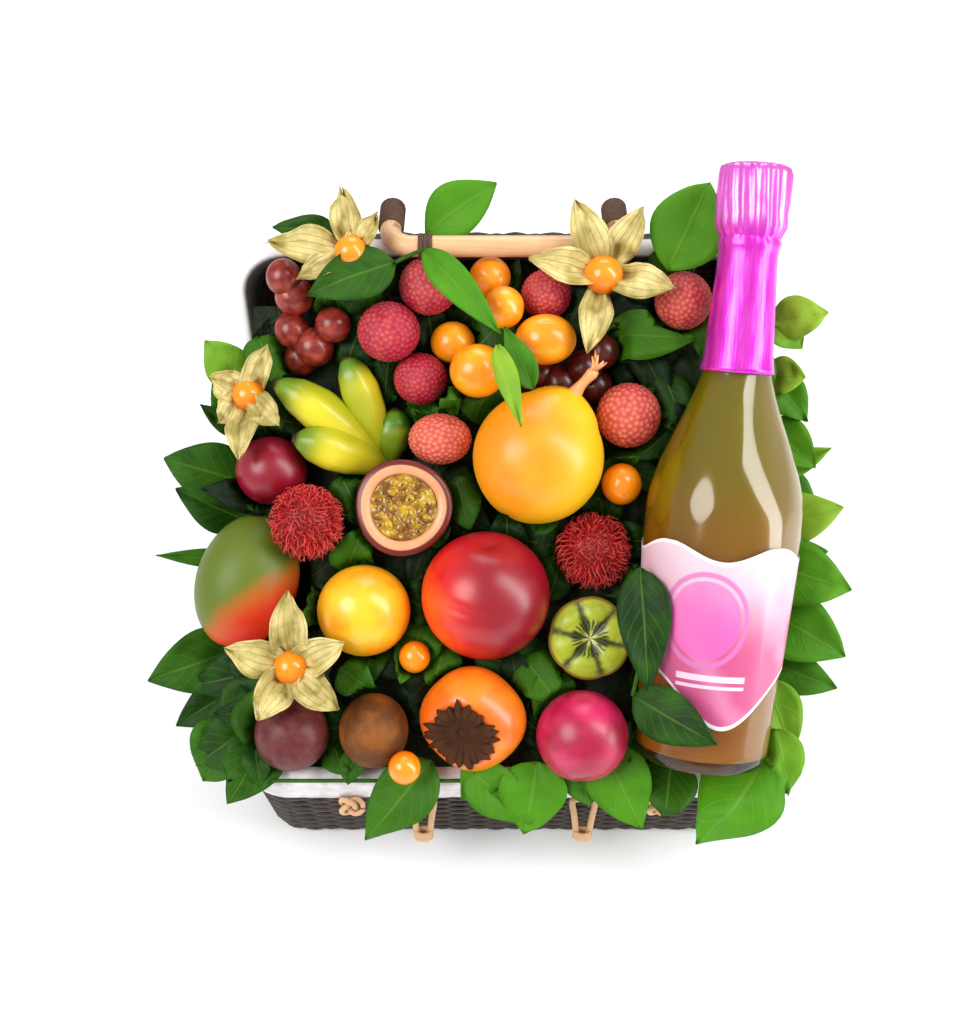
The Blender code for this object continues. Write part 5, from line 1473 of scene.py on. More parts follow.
class BASKET_OT_long_fruit(BasketOperator, bpy.types.Operator):
    """Makes the fruit that isn't a plain ball"""

    bl_idname = "basket.long_fruit"
    bl_label = "Bananas, mango and others"

    def execute(self, context):
        colours = self.colours(context)
        self.bananas(colours)
        self.mango(colours)
        self.granadilla(colours)
        self.persimmon(colours)
        return {"FINISHED"}

    def bananas(self, colours):
        shader = Shader("Banana")
        along, green = shader.own("Z"), shader.attribute("shade")
        cloud = shader.place_noise(0.8, 3.0, 40.0)
        tip = 1.0 - along.between(0.10, 0.34)
        side = shader.own("X").between(-0.6, 1.0)
        ripe = shader.mix((cloud * 0.5 + side * 0.4).between(0.25, 0.7), colours.banana, srgb(176, 178, 30))
        shade = (tip * 0.9 + green).clamped()
        end = 1.0 - along.between(0.015, 0.06)
        peel = shader.mix(shade, ripe, colours.banana_green)
        shader.set(base_color=shader.mix(end, peel, srgb(60, 48, 22)), roughness=0.36, coat_weight=0.1)
        shader.bump(cloud, 0.1, 0.0006)
        bm = new_bmesh()
        layer = bm.verts.layers.float_vector["own"]
        steps, sides = 26, 20
        for tip_point, belly, radius, green_share in BANANAS:
            path = [on_slope() @ point for point in bow(tip_point, belly, BANANA_CROWN, steps)]
            path[0] = path[0] + (path[0] - path[1]) * 0.5
            radii = [banana_width(step / steps) for step in range(steps + 1)]
            radii[0], radii[1] = 0.16, 0.34
            made = add_tube(bm, path, radius, sides, radii)
            for index, vert in enumerate(made):
                ring = index // sides
                angle = 2 * math.pi * (index % sides) / sides
                vert.co = path[ring] + (vert.co - path[ring]) * (1 + 0.045 * math.cos(5 * angle))
                vert[layer] = (math.cos(angle), math.sin(angle), ring / steps)
            set_shade(bm, made, green_share * 0.75)
        crown = on_slope() @ Vector(BANANA_CROWN)
        set_shade(bm, add_ball(bm, 3, Matrix.Translation(crown) @ Matrix.Scale(0.009, 4)), 1.0)
        finished(bm, "fruit_bananas", shader, BASKET, ["banana_hand"])

    def mango(self, colours):
        shader = Shader("Mango")
        across, length_way = shader.own("X"), shader.own("Z")
        cloud = shader.noise(1.2, 4.0, rough=0.6)
        red = (across * 0.65 + length_way * 0.75 + (cloud - 0.5) * 0.5 - 0.15).between(-0.1, 0.55)
        skin = shader.mix(red, colours.mango_green, colours.mango_red)
        warm = shader.mix((red * (1.0 - red) * 1.2).clamped(), skin, srgb(196, 104, 26))
        shader.set(base_color=warm, roughness=0.45, specular_ior_level=0.35)
        shader.bump(cloud, 0.05, 0.001)

        def shape(unit):
            dip = 0.05 * math.exp(-((unit - Vector((0.1, 0, 1))).length / 0.22) ** 2)
            return 1.0 + 0.06 * unit.x * (1 - unit.z) - 0.04 * max(unit.z, 0.0) - dip
        bm = new_bmesh()
        matrix = on_slope().to_3x3().to_4x4() @ turned_by(90, 0, -14)
        add_ball(bm, 5, matrix @ stretched(0.031, 0.029, 0.042), shape)
        fit_to(bm, "mango")
        finished(bm, "fruit_mango", shader, BASKET, ["mango"])

    def granadilla(self, colours):
        """A large speckled ball that runs out into a short neck with a dry stem."""
        shader = Shader("Granadilla")
        height = shader.own("Z")
        cloud = shader.noise(1.3, 3.0)
        specks = shader.cells(24.0).between(0.08, 0.17)
        # One side turns a darker orange and the other stays yellow: painted shade on the side away from the
        # light.
        side = shader.own("X") * 0.8 + shader.own("Y") * 0.5
        skin = shader.mix(side.between(-0.9, 0.2), srgb(244, 140, 12), colours.granadilla)
        warm = shader.mix(cloud.between(0.4, 0.7) * 0.2, skin, srgb(255, 206, 50))
        speckled = shader.mix((1.0 - specks) * 0.35, warm, srgb(214, 128, 20))
        stem = height.between(1.04, 1.2)
        shader.set(base_color=shader.mix(stem, speckled, srgb(228, 164, 104)), roughness=0.38,
                   coat_weight=0.1, coat_roughness=0.2)
        shader.bump(cloud + shader.noise(14.0, 3.0) * 0.3, 0.14, 0.0007)
        axis = Vector((0.478, 0.858, 0.19)).normalized()

        def shape(unit):
            lobes = 0.012 * math.sin(4 * math.atan2(unit.y, unit.x))
            return 1.0 + 0.13 * max(unit.z - 0.80, 0.0) / 0.20 + lobes
        bm = new_bmesh()
        matrix = on_slope() @ moved(0.020, 0.189, 0.017)
        add_ball(bm, 5, matrix @ turned_to(axis) @ Matrix.Scale(0.0384, 4), shape)
        layer = bm.verts.layers.float_vector["own"]
        path = smooth_path([axis * 0.036, axis * 0.046 + Vector((0.001, 0, 0.002)),
                            axis * 0.058 + Vector((0.004, -0.001, 0.005))], 5)
        made = add_tube(bm, [matrix @ point for point in path], 0.0040, 14,
                        [3.4, 2.3, 1.7, 1.25, 1.0, 0.85, 0.75, 0.72, 0.78, 0.9, 0.7])
        for index, vert in enumerate(made):
            vert[layer] = (0, 0, 1.0 + 0.3 * min(index / 60, 1))
        chance = random.Random(8)
        for _ in range(9):
            away = jitter(chance, 0.006) + axis * chance.uniform(0.004, 0.009)
            points = [matrix @ (path[-1] + away * share) for share in (0.0, 0.6, 1.0)]
            fibre = add_tube(bm, points, 0.0009, 6, [1.4, 1.0, 0.5])
            for vert in fibre:
                vert[layer] = (0, 0, 1.3)
        finished(bm, "fruit_granadilla", shader, BASKET, ["granadilla"])

    def persimmon(self, colours):
        """A squat lobed fruit whose dry four-leaved calyx surrounds a dark hollow."""
        skin = Shader("Persimmon")
        cloud = skin.noise(1.4, 3.0)
        tone = skin.mix(cloud.between(0.35, 0.7), colours.persimmon, srgb(250, 134, 24))
        skin.set(base_color=tone, roughness=0.34, coat_weight=0.25, coat_roughness=0.2)
        skin.bump(cloud, 0.06, 0.001)
        dry = Shader("Calyx")
        grain = dry.place_noise(9.0, 4.0, 14.0)
        dry.set(base_color=dry.mix(grain, scaled(colours.calyx, 0.35), srgb(88, 50, 24)), roughness=0.85,
                specular_ior_level=0.2)
        dry.bump(grain, 0.7, 0.001)
        facing = Vector((-0.30, -0.36, 0.88)).normalized()
        matrix = on_slope() @ moved(-0.018, 0.037, 0.013) @ turned_to(facing)

        def lobed(unit):
            around = math.atan2(unit.y, unit.x)
            dip = 0.48 * math.exp(-(unit.angle(Vector((0, 0, 1)), 0.0) / 0.60) ** 6)
            return 1.0 + 0.028 * math.cos(4 * around) * (1 - unit.z ** 2) - dip
        bm = new_bmesh()
        add_ball(bm, 5, matrix @ stretched(0.0308, 0.0308, 0.0262), lobed)
        finished(bm, "fruit_persimmon", skin, BASKET, ["persimmon"])
        bm = new_bmesh()
        chance = random.Random(5)
        for angle, _, _ in round_steps(34):
            around = angle + chance.uniform(-0.12, 0.12)
            out = Vector((math.cos(around), math.sin(around), 0))
            reach = 0.0205 + 0.0014 * math.cos(4 * around) + chance.uniform(-0.0018, 0.0024)
            points = [out * 0.0030 + Vector((0, 0, 0.0150)), out * 0.0095 + Vector((0, 0, 0.0160)),
                      out * 0.0160 + Vector((0, 0, 0.0208)), out * reach + Vector((0, 0, 0.0204))]
            add_tube(bm, [matrix @ point for point in smooth_path(points, 3)], 0.0030, 8,
                     [0.8, 1.0, 1.1, 1.1, 1.0, 1.0, 0.9, 0.75, 0.5, 0.15])
        add_ball(bm, 3, matrix @ moved(0, 0, 0.0130) @ stretched(0.0170, 0.0170, 0.0044),
                 lambda unit: 1.0 + 0.25 * noise(unit * 5))
        finished(bm, "calyx", dry, BASKET, ())


class BASKET_OT_cut_fruit(BasketOperator, bpy.types.Operator):
    """Makes the two cut fruits"""

    bl_idname = "basket.cut_fruit"
    bl_label = "Cut fruit"

    def execute(self, context):
        colours = self.colours(context)
        self.passion_half(colours)
        self.kiwi(colours)
        return {"FINISHED"}

    def passion_half(self, colours):
        """A thick pale rind holds golden pulp with dark seeds."""
        middle = on_slope() @ moved(-0.058, 0.160, 0.022)
        outer, rind, depth, steps = 0.0282, 0.0088, 0.025, 14
        angles = [math.pi / 2 * (1 - step / steps) for step in range(steps + 1)]
        profile = [((outer - rind) * math.sin(angle), -0.001 - (depth - rind) * math.cos(angle), 1.0)
                   for angle in reversed(angles)]
        profile += [(outer - rind + 0.0012, 0.0004, 1.0), (outer - 0.0050, 0.0008, 1.0),
                    (outer - 0.0032, 0.0006, 0.2), (outer - 0.0014, 0.0, 0.0),
                    (outer - 0.0003, -0.0006, 0.0)]
        profile += [(outer * math.sin(angle), -0.001 - (depth - 0.001) * math.cos(angle), 0.0)
                    for angle in angles[1:]]
        bm = new_bmesh()
        layer = bm.verts.layers.float_vector["own"]
        rows = []
        for radius, height, pale in profile:
            row = []
            for angle, x, y in round_steps(64):
                reach = radius * (1 + 0.02 * math.sin(3 * angle + 1))
                spot = Vector((reach * x, reach * y, height))
                vert = bm.verts.new(middle @ spot)
                vert[layer] = (spot.x * 60, spot.y * 60, pale)
                row.append(vert)
            rows.append(row)
        join_rows(bm, rows)
        bmesh.ops.remove_doubles(bm, verts=bm.verts[:], dist=MERGE)
        skin = Shader("Cut passion fruit")
        pale = skin.own("Z").between(0.15, 0.6)
        cloud = skin.place_noise(1.5, 4.0, 60.0)
        outside = skin.mix(cloud, srgb(120, 22, 10), srgb(74, 14, 14))
        inside = skin.mix(cloud.between(0.4, 0.7) * 0.6, colours.rind, srgb(222, 134, 88))
        skin.set(base_color=skin.mix(pale, outside, inside), roughness=0.4, coat_weight=0.2)
        finished(bm, "cut_passion_rind", skin, BASKET, ["passion_fruit_shell"])
        self.pulp(colours, middle, outer - rind)

    def pulp(self, colours, middle, radius):
        pulp = Shader("Pulp")
        cloud = pulp.place_noise(2.0, 3.0, 70.0)
        tone = pulp.mix(cloud.between(0.35, 0.65), srgb(120, 74, 8), colours.pulp)
        pulp.set(base_color=tone, roughness=0.2, coat_weight=0.25, coat_roughness=0.08)
        pulp.bump(cloud, 0.4, 0.0015)
        chance = random.Random(3)
        level, count = -0.002, 34
        bm = new_bmesh()
        add_ball(bm, 5, middle @ moved(0, 0, -0.0045) @ stretched(radius + 0.0002, radius + 0.0002, 0.0135),
                 lambda unit: 1.0 + 0.02 * noise(unit * 3))
        for vert in bm.verts:
            local = middle.inverted() @ vert.co
            if local.z > level:
                local.z = level + 0.0016 * noise(local * 260)
                vert.co = middle @ local
        seeds = new_bmesh()
        for index in range(count):
            reach = radius * 0.88 * math.sqrt((index + 0.5) / count)
            turn = index * GOLDEN
            height = -0.0026 + chance.uniform(-0.0016, 0.0010)
            lean = middle @ moved(reach * math.cos(turn), reach * math.sin(turn), height)
            lean = lean @ turned_by(0, 0, math.degrees(turn) + chance.uniform(-60, 60))
            scale = chance.uniform(0.8, 1.25)
            add_ball(bm, 3, lean @ stretched(0.0036 * scale, 0.0026 * scale, 0.0022))
            if chance.random() < 0.4:
                add_ball(seeds, 2, lean @ moved(0, 0, 0.0014) @ stretched(0.0017, 0.0010, 0.0009))
        finished(bm, "cut_passion_pulp", pulp, BASKET, ["passion_fruit_pulp"])
        dark = Shader("Seed")
        dark.set(base_color=colours.seed, roughness=0.2, coat_weight=0.5)
        finished(seeds, "cut_passion_seeds", dark, BASKET, ())

    def kiwi(self, colours):
        """Six swelling lobes between creases that meet at a pale middle. The dark green in the creases is
        partly the flesh's own colour and partly painted shade in the grooves.
        """
        lobes = 6
        radius, depth = 0.0242, 0.023
        matrix = on_slope() @ moved(0.050, 0.084, 0.014) @ turned_by(0, 0, 18)

        def crease(turn):
            return abs(math.cos(lobes * turn / 2))
        bm = new_bmesh()
        layer = bm.verts.layers.float_vector["own"]
        made = bmesh.ops.create_icosphere(bm, subdivisions=6, radius=1.0)["verts"]
        for vert in made:
            unit = vert.co.copy()
            turn = math.atan2(unit.y, unit.x)
            spread = math.hypot(unit.x, unit.y)
            edge = 1.0 + (0.05 * crease(turn) ** 0.6 - 0.04) * min(max(unit.z + 0.2, 0.0) * 5, 1)
            spot = Vector((unit.x * radius, unit.y * radius, unit.z * depth)) * edge
            if unit.z > 0:
                swell = 0.35 + 0.65 * crease(turn) ** 0.55
                rise = 0.001 + 0.0066 * swell * math.sin(math.pi * min(spread, 1.0)) * (0.4 + 0.6 * spread)
                spot.z = rise * min(unit.z * 12, 1)
            vert[layer] = (unit.x, unit.y, unit.z)
            vert.co = matrix @ spot
        shader = Shader("Cut kiwi")
        flat = shader.node("ShaderNodeVectorMath", {0: shader.own(), 1: (1.0, 1.0, 0.0)},
                           operation="MULTIPLY")
        size = shader.node("ShaderNodeVectorMath", {0: flat.outputs[0]}, operation="LENGTH")
        away = Value(shader, size.outputs["Value"])
        turn = shader.own("Y").maths("ARCTAN2", shader.own("X"))
        lobe = abs((turn * (lobes / 2)).maths("COSINE"))
        cloud = shader.noise(5.0, 3.0)
        core = 1.0 - away.between(0.26, 0.66)
        # Dark green along the creases: partly the flesh's colour, partly painted shade in the grooves.
        crease = 1.0 - (lobe - core * 0.55 + (cloud - 0.5) * 0.5).between(-0.05, 0.60)
        flesh = shader.mix(cloud.between(0.35, 0.7) * 0.5, colours.kiwi, srgb(198, 204, 74))
        creased = shader.mix(crease * 0.95, flesh, srgb(44, 56, 2))
        streaks = abs((turn * (lobes * 2.0) + cloud * 5.0).maths("COSINE")).between(0.55, 0.95)
        seeds = streaks * away.between(0.16, 0.24) * (1.0 - away.between(0.40, 0.50))
        speckled = shader.mix(seeds * 0.9, creased, srgb(26, 24, 4))
        star = (1.0 - away.between(0.06, 0.22)) * lobe.between(0.3, 0.9)
        pale = shader.mix(star * 0.9, speckled, srgb(226, 222, 140))
        rim = (away + (cloud - 0.5) * 0.05).between(0.90, 0.97)
        body = shader.own("Z").between(-0.02, 0.05)
        skinned = shader.mix(rim, pale, srgb(128, 96, 26))
        shader.set(base_color=shader.mix(body, srgb(132, 76, 26), skinned), roughness=0.32 + cloud * 0.15,
                   coat_weight=0.12, coat_roughness=0.15)
        shader.bump(cloud, 0.2, 0.0006)
        finished(bm, "fruit_cut_kiwi", shader, BASKET, ["kiwi_cut"])


class BASKET_OT_rambutans(BasketOperator, bpy.types.Operator):
    """Grows the rambutans with their soft curved hairs"""

    bl_idname = "basket.rambutans"
    bl_label = "Rambutans"

    def execute(self, context):
        colours = self.colours(context)
        sizes = self.sizes(context)
        skin = Shader("Rambutan skin")
        cloud = skin.noise(3.0, 3.0)
        skin.set(base_color=skin.mix(cloud, scaled(colours.rambutan, 0.55), colours.rambutan), roughness=0.5)
        skin.bump(skin.cells(9.0), 0.4, 0.0008)
        hair = Shader("Rambutan hair")
        along = hair.own("Z")
        shade = hair.attribute("shade")
        base = hair.mix(shade, colours.rambutan, colours.hair)
        tipped = hair.mix(along.between(5.0, 11.0) * 0.15, base, srgb(214, 130, 80))
        hair.set(base_color=tipped, roughness=0.5)
        for node in ("rambutan_left", "rambutan_right"):
            self.fruit(node, skin, hair, sizes)
        return {"FINISHED"}

    def fruit(self, node, skin, hair, sizes):
        middle = middle_of(node)
        core = max(size_of(node)) / 2 - sizes.hair * 0.72
        bm = new_bmesh()
        add_ball(bm, 4, Matrix.Translation(middle) @ Matrix.Scale(core, 4))
        finished(bm, "fruit_" + node, skin, BASKET, [node])
        chance = random.Random(node)
        bm = new_bmesh()
        count = 720
        for index in range(count):
            out = spread_direction(index, count)
            sway = jitter(chance, 1)
            sway = (sway - out * sway.dot(out)) + Vector((0, -0.15, -0.35))
            reach = sizes.hair * chance.uniform(0.75, 1.3)
            foot = middle + out * (core - 0.0006)
            points = bow(foot, foot + out * reach * 0.75, foot + (out * 0.82 + sway * 0.62) * reach, 5)
            made = add_tube(bm, points, 0.00055, 5, [1.35, 1.0, 0.8, 0.6, 0.42, 0.2])
            set_shade(bm, made, chance.random())
        finished(bm, "hairs_" + node, hair, BASKET, ())


def bottle_radius(height):
    """Outer radius of the bottle at a height above its heel."""
    heel, wide_at, shoulder_at, neck_at = 0.006, 0.130, 0.150, 0.236
    heel_radius, wide, neck = 0.038, 0.0445, 0.0175
    if height < heel:
        return heel_radius - 0.005 * (1 - height / heel) ** 2
    if height < wide_at:
        return heel_radius + (wide - heel_radius) * (height - heel) / (wide_at - heel)
    if height < shoulder_at:
        return wide
    if height < neck_at:
        share = (height - shoulder_at) / (neck_at - shoulder_at)
        ease = share * share * (3 - 2 * share)
        return wide + (neck - wide) * (0.35 * share + 0.65 * ease)
    return neck - 0.0026 * min((height - neck_at) / 0.050, 1.0)


def bottle_matrix():
    """The bottle's own frame: Z along its axis, from the middle of its heel."""
    return on_slope() @ Matrix.Translation(BOTTLE_HEEL) @ turned_to(BOTTLE_TOP - BOTTLE_HEEL)


def add_turned(bm, profile, matrix, sides, shape=None):
    """Turns a profile of radius and height round Z. Ends on the axis are closed."""
    layer = bm.verts.layers.float_vector["own"]
    rows = []
    for radius, height in profile:
        row = []
        for angle, x, y in round_steps(sides):
            reach, rise = shape(radius, height, angle) if shape else (radius, height)
            vert = bm.verts.new(matrix @ Vector((reach * x, reach * y, rise)))
            vert[layer] = (x, y, height * 10)
            row.append(vert)
        rows.append(row)
    join_rows(bm, rows)
    bmesh.ops.remove_doubles(bm, verts=bm.verts[:], dist=MERGE)


class BASKET_OT_bottle(BasketOperator, bpy.types.Operator):
    """Blows the bottle, fills it, wraps its neck and sticks its label on"""

    bl_idname = "basket.bottle"
    bl_label = "Bottle"

    def execute(self, context):
        colours = self.colours(context)
        sizes = self.sizes(context)
        matrix = bottle_matrix()
        axis_length = (BOTTLE_TOP - BOTTLE_HEEL).length
        self.glass(colours, sizes, matrix, axis_length)
        self.wine(colours, sizes, matrix)
        self.foil(colours, matrix, axis_length)
        self.label(colours, matrix)
        return {"FINISHED"}

    def glass(self, colours, sizes, matrix, axis_length):
        mouth = axis_length - MOUTH_DEPTH
        count = 60
        heights = [0.006 + (mouth - 0.006) * (step / count) for step in range(count + 1)]
        profile = [(0.0, 0.0095), (0.014, 0.008), (bottle_radius(0.008) - sizes.glass - 0.002, 0.008)]
        profile += [(bottle_radius(height) - sizes.glass, height) for height in heights if height > 0.012]
        profile += [(bottle_radius(mouth) - sizes.glass * 0.5, mouth + 0.0006)]
        profile += [(bottle_radius(height), height) for height in reversed(heights)]
        profile += [(bottle_radius(0.002), 0.0018), (0.0345, 0.0003), (0.031, 0.0002), (0.014, 0.004),
                    (0.0, 0.0055)]
        bm = new_bmesh()
        add_turned(bm, profile, matrix, 96)
        shader = Shader("Bottle glass")
        shader.set(base_color=colours.glass, roughness=0.09, transmission_weight=1.0, ior=1.5)
        finished(bm, "glass", shader, BASKET, ["bottle_glass"])

    def wine(self, colours, sizes, matrix):
        """The drink reaches a hair into the wall, so that no air shows between."""
        level = 0.246
        inset = sizes.glass - 0.0002
        count = 44
        heights = [0.012 + (level - 0.012) * step / count for step in range(count + 1)]
        profile = [(0.0, level), (bottle_radius(level) - inset, level)]
        profile += [(bottle_radius(height) - inset, height) for height in reversed(heights)]
        profile += [(bottle_radius(0.008) - sizes.glass - 0.0018, 0.0078), (0.014, 0.0078), (0.0, 0.0093)]
        bm = new_bmesh()
        add_turned(bm, profile, matrix, 96)
        shader = Shader("Wine")
        height, side = shader.own("Z"), shader.own("X")
        olive = shader.mix(height.between(0.9, 1.9), colours.wine, srgb(182, 164, 22))
        # A pale stripe down one side of the drink is a painted highlight.
        with_painted_highlight = shader.mix(side.between(0.1, 0.9) * 0.5, olive, srgb(250, 226, 190))
        shader.set(base_color=with_painted_highlight, roughness=0.12, transmission_weight=0.4, ior=1.34)
        finished(bm, "drink", shader, BASKET, ["bottle_wine"])

    def foil(self, colours, matrix, axis_length):
        """Foil hugs the neck, and its top is gathered into a crinkled collar."""
        mouth = axis_length - MOUTH_DEPTH
        start, collar_at, collar = 0.226, 0.306, 0.0199
        cap = ((0.0045, 0.0003), (0.001, 0.002), (0.0, 0.005), (0.0, 0.020))
        gathers = ((0.0004, 0.008), (0.0, 0.001), (0.0022, -0.004), (0.0030, -0.006), (0.0018, -0.008),
                   (0.0028, -0.011))
        profile = [(0.0, axis_length)] + [(collar - inset, axis_length - depth) for inset, depth in cap]
        profile += [(collar - inset, collar_at + rise) for inset, rise in gathers]
        steps = [start + (collar_at - 0.014 - start) * (1 - step / 24) for step in range(25)]
        profile += [(bottle_radius(height) + 0.0019, height) for height in steps]
        profile += [(bottle_radius(height) + 0.0006, height) for height in reversed(steps)]
        profile += [(bottle_radius(mouth) + 0.0012, mouth + 0.001), (0.0, mouth + 0.001)]

        def crinkle(radius, height, angle):
            if radius < 0.002:
                return radius, height
            share = min(max((height - collar_at + 0.012) / 0.02, 0.0), 1.0)
            pleats = 0.00075 * math.sin(19 * angle + 90 * height)
            pleats += 0.0006 * noise(Vector((angle * 4, height * 160, 1)))
            smooth = 0.00018 * noise(Vector((math.cos(angle) * 3, math.sin(angle) * 3, height * 90)))
            return radius + pleats * share + smooth, height
        bm = new_bmesh()
        add_turned(bm, profile, matrix, 120, shape=crinkle)
        shader = Shader("Foil")
        height = shader.own("Z")
        ripple = shader.noise(2.4, 4.0, stretch=(2.0, 2.0, 1.4))
        fine = shader.noise(9.0, 3.0, stretch=(2.0, 2.0, 1.0))
        tone = shader.mix(ripple.between(0.35, 0.75), colours.foil, srgb(244, 84, 220))
        pale = shader.mix(height.between(3.0, 3.12) * 0.3, tone, srgb(250, 170, 236))
        shader.set(base_color=pale, roughness=0.24, metallic=0.65, coat_weight=0.2, coat_roughness=0.12)
        shader.bump(ripple + fine * 0.5, 0.3, 0.0010)
        finished(bm, "neck_foil", shader, BASKET, ["bottle_foil"])

    def label(self, colours, matrix):
        """A paper label: its upper edge waves, and its lower edge runs down to a rounded tongue."""
        columns, rows = 84, 40
        facing, half = math.radians(-100), math.radians(100)
        shoulder, tongue = 0.1322, 0.028
        stand_off, thick = 0.00045, 0.0003
        outwards = matrix.to_3x3()
        grid = []
        for row in range(rows + 1):
            share = row / rows
            line = []
            for column in range(columns + 1):
                side = 2 * column / columns - 1
                top = 0.128 - 0.0045 * math.cos(side * 2.4 * math.pi)
                bottom = tongue + 0.034 * (1 - math.exp(-((side - 0.1) / 0.42) ** 2))
                height = bottom + (min(top, shoulder) - bottom) * share
                angle = facing + side * half
                direction = Vector((math.cos(angle), math.sin(angle), 0))
                reach = bottle_radius(height) + stand_off
                spot = matrix @ Vector((reach * direction.x, reach * direction.y, height))
                edge = min(share, 1 - share, (1 - abs(side)) * 3)
                line.append((spot + outwards @ direction * thick, spot, (side, height * 10, edge)))
            grid.append(line)
        bm = new_bmesh()
        add_sheet(bm, grid)
        finished(bm, "paper_label", self.label_shader(colours), BASKET, ["bottle_label"])

    @staticmethod
    def label_shader(colours):
        """White paper that turns pink towards its tongue, with a plain round medallion and two bars."""
        shader = Shader("Label")
        side, height, edge = shader.own("X"), shader.own("Y"), shader.own("Z")
        cloud = shader.noise(2.0, 3.0)
        fade = (1.25 - height + cloud * 0.3).between(0.05, 0.75)
        wash = abs(((side * 1.4 + height * 1.1 + cloud * 0.6).fraction() - 0.5) * 2.0).between(0.5, 1.0)
        pink = shader.mix(wash * 0.45, colours.label, srgb(220, 150, 184))
        paper = shader.mix(fade, colours.paper, pink)
        across, up = (side + 0.10) / 0.30, (height - 0.90) / 0.25
        away = (across * across + up * up) ** 0.5
        ring = away.between(0.95, 1.0) * (1.0 - away.between(1.07, 1.12))
        disc = 1.0 - away.between(0.86, 0.92)
        marked = shader.mix(disc * (0.55 + cloud * 0.4), paper, srgb(234, 96, 178))
        ringed = shader.mix(ring * 0.9, marked, srgb(208, 110, 176))
        upper_bar = 1.0 - abs(height - 0.575).between(0.016, 0.020)
        lower_bar = 1.0 - abs(height - 0.525).between(0.008, 0.012)
        bars = (1.0 - abs(side + 0.02).between(0.26, 0.28)) * (upper_bar + lower_bar)
        barred = shader.mix(bars.clamped() * 0.75, ringed, srgb(252, 226, 240))
        border = 1.0 - edge.between(0.018, 0.030)
        bordered = shader.mix(border, barred, srgb(250, 246, 248))
        shader.set(base_color=bordered, roughness=0.38, coat_weight=0.2)
        return shader


class BASKET_OT_filling(BasketOperator, bpy.types.Operator):
    """Gives the packing under the fruit a leafy surface, painted near-black green as the shade in the gaps
    between the fruit
    """

    bl_idname = "basket.filling"
    bl_label = "Packing"

    def execute(self, context):
        shader = Shader("Packing")
        patches_in_shade = shader.place_noise(5.0, 5.0, 14.0, rough=0.65)
        fine = shader.place_noise(22.0, 4.0, 14.0)
        shader.set(base_color=shader.mix(patches_in_shade.between(0.3, 0.75), srgb(14, 18, 8), srgb(38, 62, 20)),
                   roughness=0.85)
        shader.bump(patches_in_shade + fine * 0.5, 1.0, 0.004)
        node = frame["nodes"]["filler_bed"]
        node.data.materials.clear()
        node.data.materials.append(shader.material)
        return {"FINISHED"}


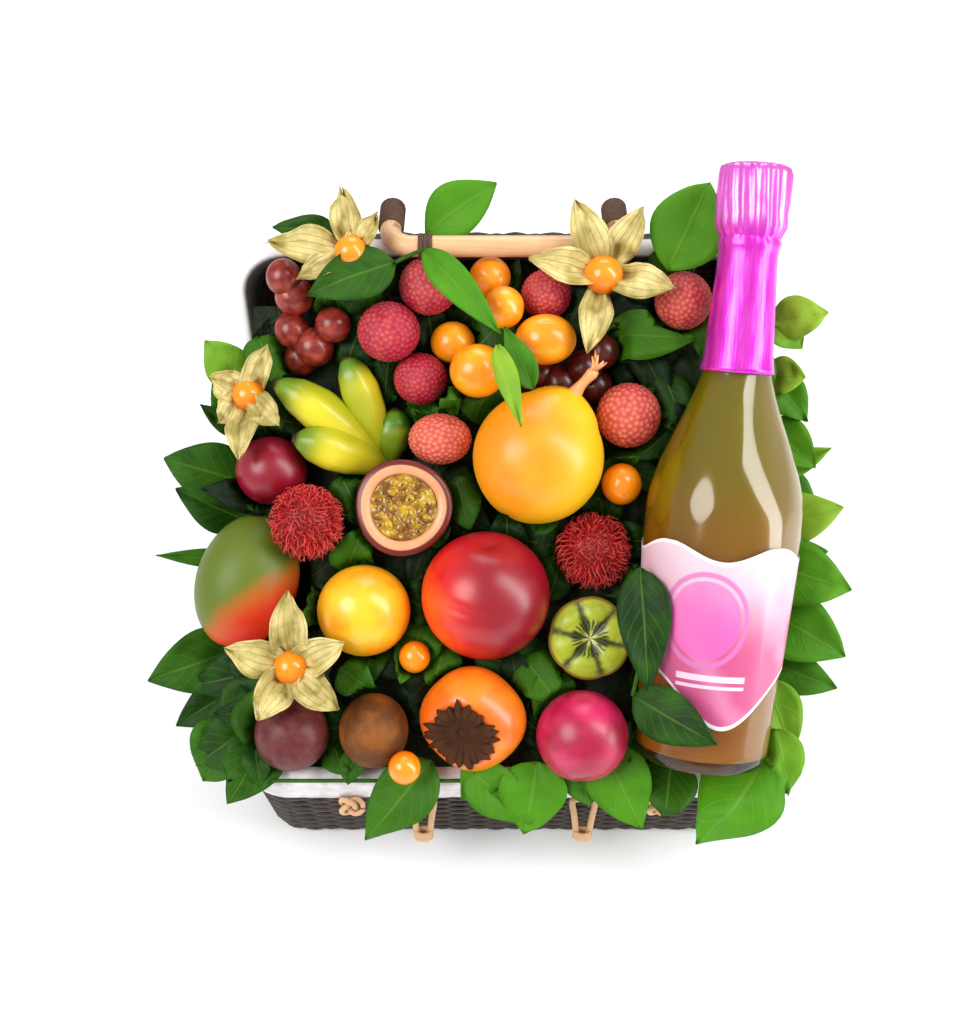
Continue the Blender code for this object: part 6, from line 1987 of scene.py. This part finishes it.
class BASKET_OT_stage(BasketOperator, bpy.types.Operator):
    """Sets the pale floor, the soft light and the camera"""

    bl_idname = "basket.stage"
    bl_label = "Stage"

    def execute(self, context):
        self.floor(context)
        self.light(context)
        self.look(context)
        return {"FINISHED"}

    def floor(self, context):
        half = 6.0
        bm = bmesh.new()
        bmesh.ops.create_grid(bm, x_segments=1, y_segments=1, size=half)
        mesh = bpy.data.meshes.new("floor")
        bm.to_mesh(mesh)
        bm.free()
        shader = Shader("Floor")
        shader.set(base_color=self.colours(context).floor, roughness=0.9)
        mesh.materials.append(shader.material)
        floor = bpy.data.objects.new("floor", mesh)
        context.scene.collection.objects.link(floor)

    def light(self, context):
        """Soft light all round, a round lamp at the left, a tall one at the right and a weak one behind."""
        scene = context.scene
        strength = 0.55
        world = bpy.data.worlds.new("Soft studio")
        world.use_nodes = True
        background = world.node_tree.nodes["Background"]
        background.inputs["Color"].default_value = (1.0, 1.0, 1.0, 1.0)
        background.inputs["Strength"].default_value = strength
        scene.world = world
        scene.view_settings.view_transform = "Standard"
        heap = on_slope() @ Vector((0.02, 0.16, 0.0))
        right = on_slope() @ Vector((1.12, 0.24, 0.66))
        for name, energy, wide, tall, spot in (
                ("key", 26.0, 1.2, 1.2, Vector((-1.15, -0.75, 1.45))), ("softbox", 26.0, 0.4, 2.4, right),
                ("back", 8.0, 0.9, 0.9, Vector((0.1, 1.0, 1.3)))):
            light = bpy.data.lights.new(name, "AREA")
            light.shape = "ELLIPSE" if wide == tall else "RECTANGLE"
            light.energy = energy
            light.size = wide
            light.size_y = tall
            lamp = bpy.data.objects.new(name, light)
            self.aim(lamp, spot, heap - spot)
            scene.collection.objects.link(lamp)

    def look(self, context):
        """The camera looks at the heap's middle, along the slope's own outward direction."""
        distance, lens, film = 0.8, 47.07, 36.0
        camera = bpy.data.cameras.new("camera")
        camera.lens = lens
        camera.sensor_width = film
        eye = bpy.data.objects.new("camera", camera)
        target = on_slope() @ Vector((-0.008, 0.1544, 0.0))
        back = Vector((0, -math.cos(VIEW_ALONG), math.sin(VIEW_ALONG)))
        self.aim(eye, target + back * distance, -back)
        context.scene.collection.objects.link(eye)
        context.scene.camera = eye

    @staticmethod
    def aim(item, spot, direction):
        item.location = spot
        item.rotation_mode = "QUATERNION"
        item.rotation_quaternion = direction.to_track_quat("-Z", "Y")


OPERATORS = (
    BASKET_OT_base,
    BASKET_OT_lid,
    BASKET_OT_cloth,
    BASKET_OT_rattan,
    BASKET_OT_filling,
    BASKET_OT_round_fruit,
    BASKET_OT_long_fruit,
    BASKET_OT_cut_fruit,
    BASKET_OT_rambutans,
    BASKET_OT_husks,
    BASKET_OT_bottle,
    BASKET_OT_leaves,
    BASKET_OT_stage,
)


class BASKET_PT_panel(bpy.types.Panel):
    """Buttons and settings of the gift basket"""

    bl_idname = "BASKET_PT_panel"
    bl_label = "Gift basket"
    bl_space_type = "VIEW_3D"
    bl_region_type = "UI"
    bl_category = "Gift basket"

    def draw(self, context):
        for operator in OPERATORS:
            self.layout.operator(operator.bl_idname)
        for group in (context.scene.basket_sizes, context.scene.basket_colours):
            box = self.layout.box()
            for name in group.__annotations__:
                box.prop(group, name)


CLASSES = (BasketSizes, BasketColours, *OPERATORS, BASKET_PT_panel)


def register():
    for item in CLASSES:
        bpy.utils.register_class(item)
    bpy.types.Scene.basket_sizes = bpy.props.PointerProperty(type=BasketSizes)
    bpy.types.Scene.basket_colours = bpy.props.PointerProperty(type=BasketColours)


def unregister():
    del bpy.types.Scene.basket_colours
    del bpy.types.Scene.basket_sizes
    for item in reversed(CLASSES):
        bpy.utils.unregister_class(item)


def main():
    random.seed(WEAVE_SEED)
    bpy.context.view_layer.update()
    register()
    for operator in OPERATORS:
        group, name = operator.bl_idname.split(".")
        getattr(getattr(bpy.ops, group), name)()


if __name__ == "__main__":
    main()
